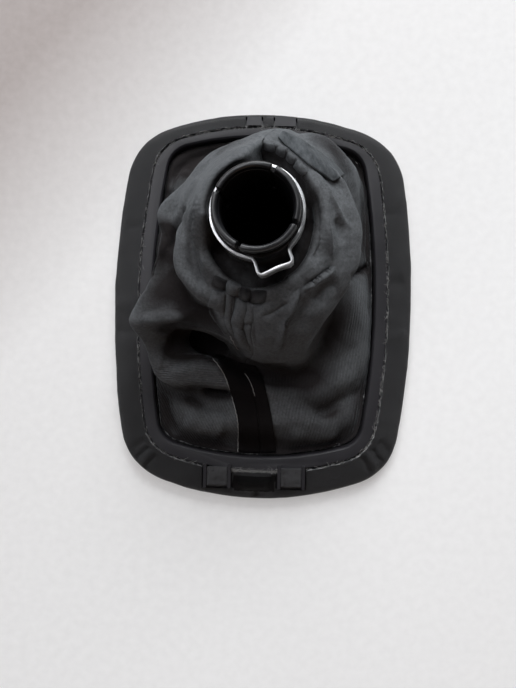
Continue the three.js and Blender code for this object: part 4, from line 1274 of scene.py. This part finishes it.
def lamp(name, place, aim, size, energy, colour):
    data = bpy.data.lights.new(name, "AREA")
    data.shape = "RECTANGLE"
    data.size, data.size_y = size
    data.energy = energy
    data.color = colour
    light = bpy.data.objects.new(name, data)
    bpy.context.collection.objects.link(light)
    light.location = place
    light.rotation_euler = (Vector(aim) - Vector(place)).to_track_quat("-Z", "Y").to_euler()


# A broad soft light at the rear, a weaker one above at the left and a warm one in front: name,
# place, aim, size, power, colour
LAMPS = (
    ("window", (0.08, 1.0, 0.72), (0, 0, 0.02), (0.8, 0.7), 17.5, (0.95, 0.98, 1.0)),
    ("ceiling", (-0.42, 0.40, 1.0), (-0.05, 0.05, 0.0), (0.9, 0.5), 4.2, (0.97, 0.97, 1.0)),
    ("fill", (0.25, -0.8, 0.5), (0, 0, 0.03), (0.6, 0.5), 0.45, (1.0, 0.66, 0.46)),
)
ROOM_IN_FRONT, ROOM_BEHIND = (0.11, 0.078, 0.060, 1), (0.30, 0.33, 0.36, 1)
ROOM_STRENGTH = 0.19


def light_scene():
    """The lamps, and a dim room that is warm in front and cool behind."""
    world = bpy.data.worlds.new("studio")
    bpy.context.scene.world = world
    world.use_nodes = True
    tree = world.node_tree
    back = tree.nodes["Background"]
    coordinates = tree.nodes.new("ShaderNodeTexCoord")
    split = tree.nodes.new("ShaderNodeSeparateXYZ")
    ramp = tree.nodes.new("ShaderNodeValToRGB")
    half = tree.nodes.new("ShaderNodeMath")
    half.operation = "MULTIPLY_ADD"
    half.inputs[1].default_value = 0.5
    half.inputs[2].default_value = 0.5
    tree.links.new(coordinates.outputs["Generated"], split.inputs[0])
    tree.links.new(split.outputs["Y"], half.inputs[0])
    tree.links.new(half.outputs[0], ramp.inputs["Fac"])
    ramp.color_ramp.elements[0].color = ROOM_IN_FRONT
    ramp.color_ramp.elements[1].color = ROOM_BEHIND
    tree.links.new(ramp.outputs["Color"], back.inputs["Color"])
    back.inputs["Strength"].default_value = ROOM_STRENGTH
    for values in LAMPS:
        lamp(*values)
    bpy.context.scene.view_settings.view_transform = "Standard"


set_camera()
light_scene()
table(table_finish())

TEXTILE = textile_finish()
LEATHER = leather_finish("grained_leather", (0.027, 0.0262, 0.028), (0.016, 0.0155, 0.017),
                         0.44, 0.60)
FOLD_LEATHER = leather_finish("folded_leather", (0.030, 0.029, 0.032), (0.018, 0.017, 0.019),
                              0.38, 0.52)
ALLOWANCE = leather_finish("allowance_leather", (0.013, 0.010, 0.0105), (0.007, 0.0052, 0.0056),
                           0.6, 0.8, specular=0.15)
WORN_LEATHER = leather_finish("worn_leather", (0.075, 0.073, 0.076), (0.038, 0.037, 0.040),
                              0.5, 0.7)
COARSE = coarse_finish()
EDGE = cut_edge_finish()
PALE_THREAD = thread_finish("pale_thread", (0.42, 0.41, 0.40), (0.22, 0.21, 0.20))
DARK_THREAD = thread_finish("dark_thread", (0.03, 0.028, 0.028), (0.008, 0.007, 0.007))

FRAME = dressed_copy("bezel_frame", "moulded_bezel", plastic_finish(), "moulding", 0.12,
                     smooth=24)
cut_with(FRAME, box_cutter(
    (TAB_CENTRES[0] + TAB_WIDTH / 2 + HOLLOW_GAP, HOLLOW_Y[0], HOLLOW_Z[0]),
    (TAB_CENTRES[1] - TAB_WIDTH / 2 - HOLLOW_GAP, HOLLOW_Y[1], HOLLOW_Z[1])))
COLLAR = dressed_copy("collar", "lever_collar", collar_finish(), "collar", 0.16)
CLAMP = dressed_copy("ear_clamp", "ear_clamp_band", steel_finish(), "clamp", 0.34, segments=3,
                     shape=channel_band)

GRID = displace_boot(boot_grid())
AROUND = around_tree(GRID)
RIBS = rib_fields(GRID)
SHADE = boot_shade(GRID)
ALL = np.arange(len(GRID))
HALF = len(GRID) // 2
LEFT = boot_panel("left_boot_panel", "left_panel", GRID, ALL[:HALF + 1], [TEXTILE, LEATHER])
RIGHT = boot_panel("right_boot_panel", "right_panel", GRID, np.append(ALL[HALF:], 0),
                   [TEXTILE, LEATHER])
CLOTH = tree_of(GRID + grid_normals(GRID, True) * SKIN / 2)
COVER = leather_cover([LEATHER, EDGE, ALLOWANCE])
cut_edge_fibres(PALE_THREAD)
FILLINGS = [tab_filling("left_tab_filling", TAB_CENTRES[0], 3, WORN_LEATHER),
            tab_filling("right_tab_filling", TAB_CENTRES[1], 8, WORN_LEATHER)]

# Seam allowances and small tucks: left edge, right edge, lift, crown, swell, materials
PIECES = {}
for NAME, LEFT_EDGE, RIGHT_EDGE, LIFT, CROWN, SWELL, LAYERS in (
        ("front_allowance_left",
         [(214, 356), (224, 373), (231, 391), (236, 409), (239, 424), (239, 451)],
         [(236, 360), (247, 378), (254, 396), (258, 420), (260, 452)],
         0.0, 0.3, 0.15, 2 * [ALLOWANCE]),
        ("front_allowance_right",
         [(238, 362), (248, 380), (255, 398), (259, 422), (261, 452)],
         [(256, 366), (265, 388), (271, 414), (276, 451)],
         0.0, 0.3, 0.15, 2 * [ALLOWANCE]),
        ("rear_allowance",
         [(278, 138), (285, 146), (296, 155), (309, 166), (320, 174), (332, 182)],
         [(282, 133), (290, 136), (306, 145), (321, 156), (336, 168), (343, 176)],
         0.1, 0.2, 0.2, 2 * [COARSE]),
        ("front_tuck_1", [(214, 275), (211, 284)], [(228, 281), (225, 291)],
         -0.5, 1.7, 0.3, 2 * [FOLD_LEATHER]),
        ("front_tuck_2", [(228, 280), (226, 292)], [(240, 286), (237, 297)],
         -0.5, 2.0, 0.3, 2 * [TEXTILE]),
        ("front_tuck_3", [(241, 285), (239, 298)], [(251, 290), (249, 301)],
         -0.5, 1.7, 0.3, 2 * [FOLD_LEATHER]),
        ("front_tuck_4", [(251, 289), (249, 302)], [(267, 291), (265, 303)],
         -0.5, 1.7, 0.3, 2 * [FOLD_LEATHER]),
        ("front_flap_1", [(213, 290), (208, 305)], [(225, 293), (224, 312)],
         0.0, 0.6, 0.4, [TEXTILE, EDGE]),
        ("front_flap_2", [(226, 293), (225, 312), (226, 328), (237, 347)],
         [(235, 297), (232, 311), (230, 324), (242, 346)], -0.3, 0.9, 0.3, 2 * [TEXTILE]),
        ("front_flap_3", [(236, 298), (234, 312), (231, 325)],
         [(247, 302), (245, 316), (242, 329)], -0.3, 0.9, 0.3, 2 * [TEXTILE]),
        ("front_flap_4", [(231, 324), (239, 347)], [(243, 329), (251, 351)],
         -0.3, 0.9, 0.3, 2 * [TEXTILE]),
        ("rear_tuck_1", [(264, 140), (264, 150)], [(276, 143), (274, 154)],
         -0.6, 0.9, 0.3, 2 * [TEXTILE]),
        ("rear_tuck_2", [(277, 144), (275, 154)], [(287, 149), (284, 159)],
         -0.6, 1.0, 0.3, 2 * [TEXTILE]),
        ("rear_tuck_3", [(288, 150), (285, 160)], [(297, 157), (292, 166)],
         -0.6, 1.0, 0.3, 2 * [TEXTILE]),
        ("rear_tuck_4", [(298, 158), (293, 167)], [(309, 171), (303, 177)],
         -0.4, 1.2, 0.3, 2 * [TEXTILE])):
    LONG = "allowance" in NAME
    THICKNESS, ACROSS, ALONG = (0.8, 12, 44) if LONG else (0.4, 9, 14)
    PIECES[NAME] = patch(NAME, LEFT_EDGE, RIGHT_EDGE, LIFT, CROWN, SWELL, THICKNESS, ACROSS,
                         ALONG, len(PIECES), LAYERS)

# Threads: line, radius, lift, wave, material
for NAME, LINE, RADIUS, LIFT, WAVE, MATERIAL in (
        ("left_cut_thread",
         [(212, 357), (223, 372), (230, 390), (235, 408), (238, 424), (238, 452)],
         0.12, 1.15, 0.3, PALE_THREAD),
        ("middle_cut_thread", [(240, 371), (247, 376), (252, 386), (255, 396)],
         0.12, 1.3, 0.3, PALE_THREAD),
        ("front_stitch", [(240, 287), (235, 297), (233, 310), (229, 322)],
         0.22, 0.9, 0.2, DARK_THREAD),
        ("loose_end", [(230, 336), (236, 347), (239, 350)], 0.10, 1.0, 0.4, PALE_THREAD)):
    laid_thread(NAME, LINE, RADIUS, LIFT, WAVE, MATERIAL)
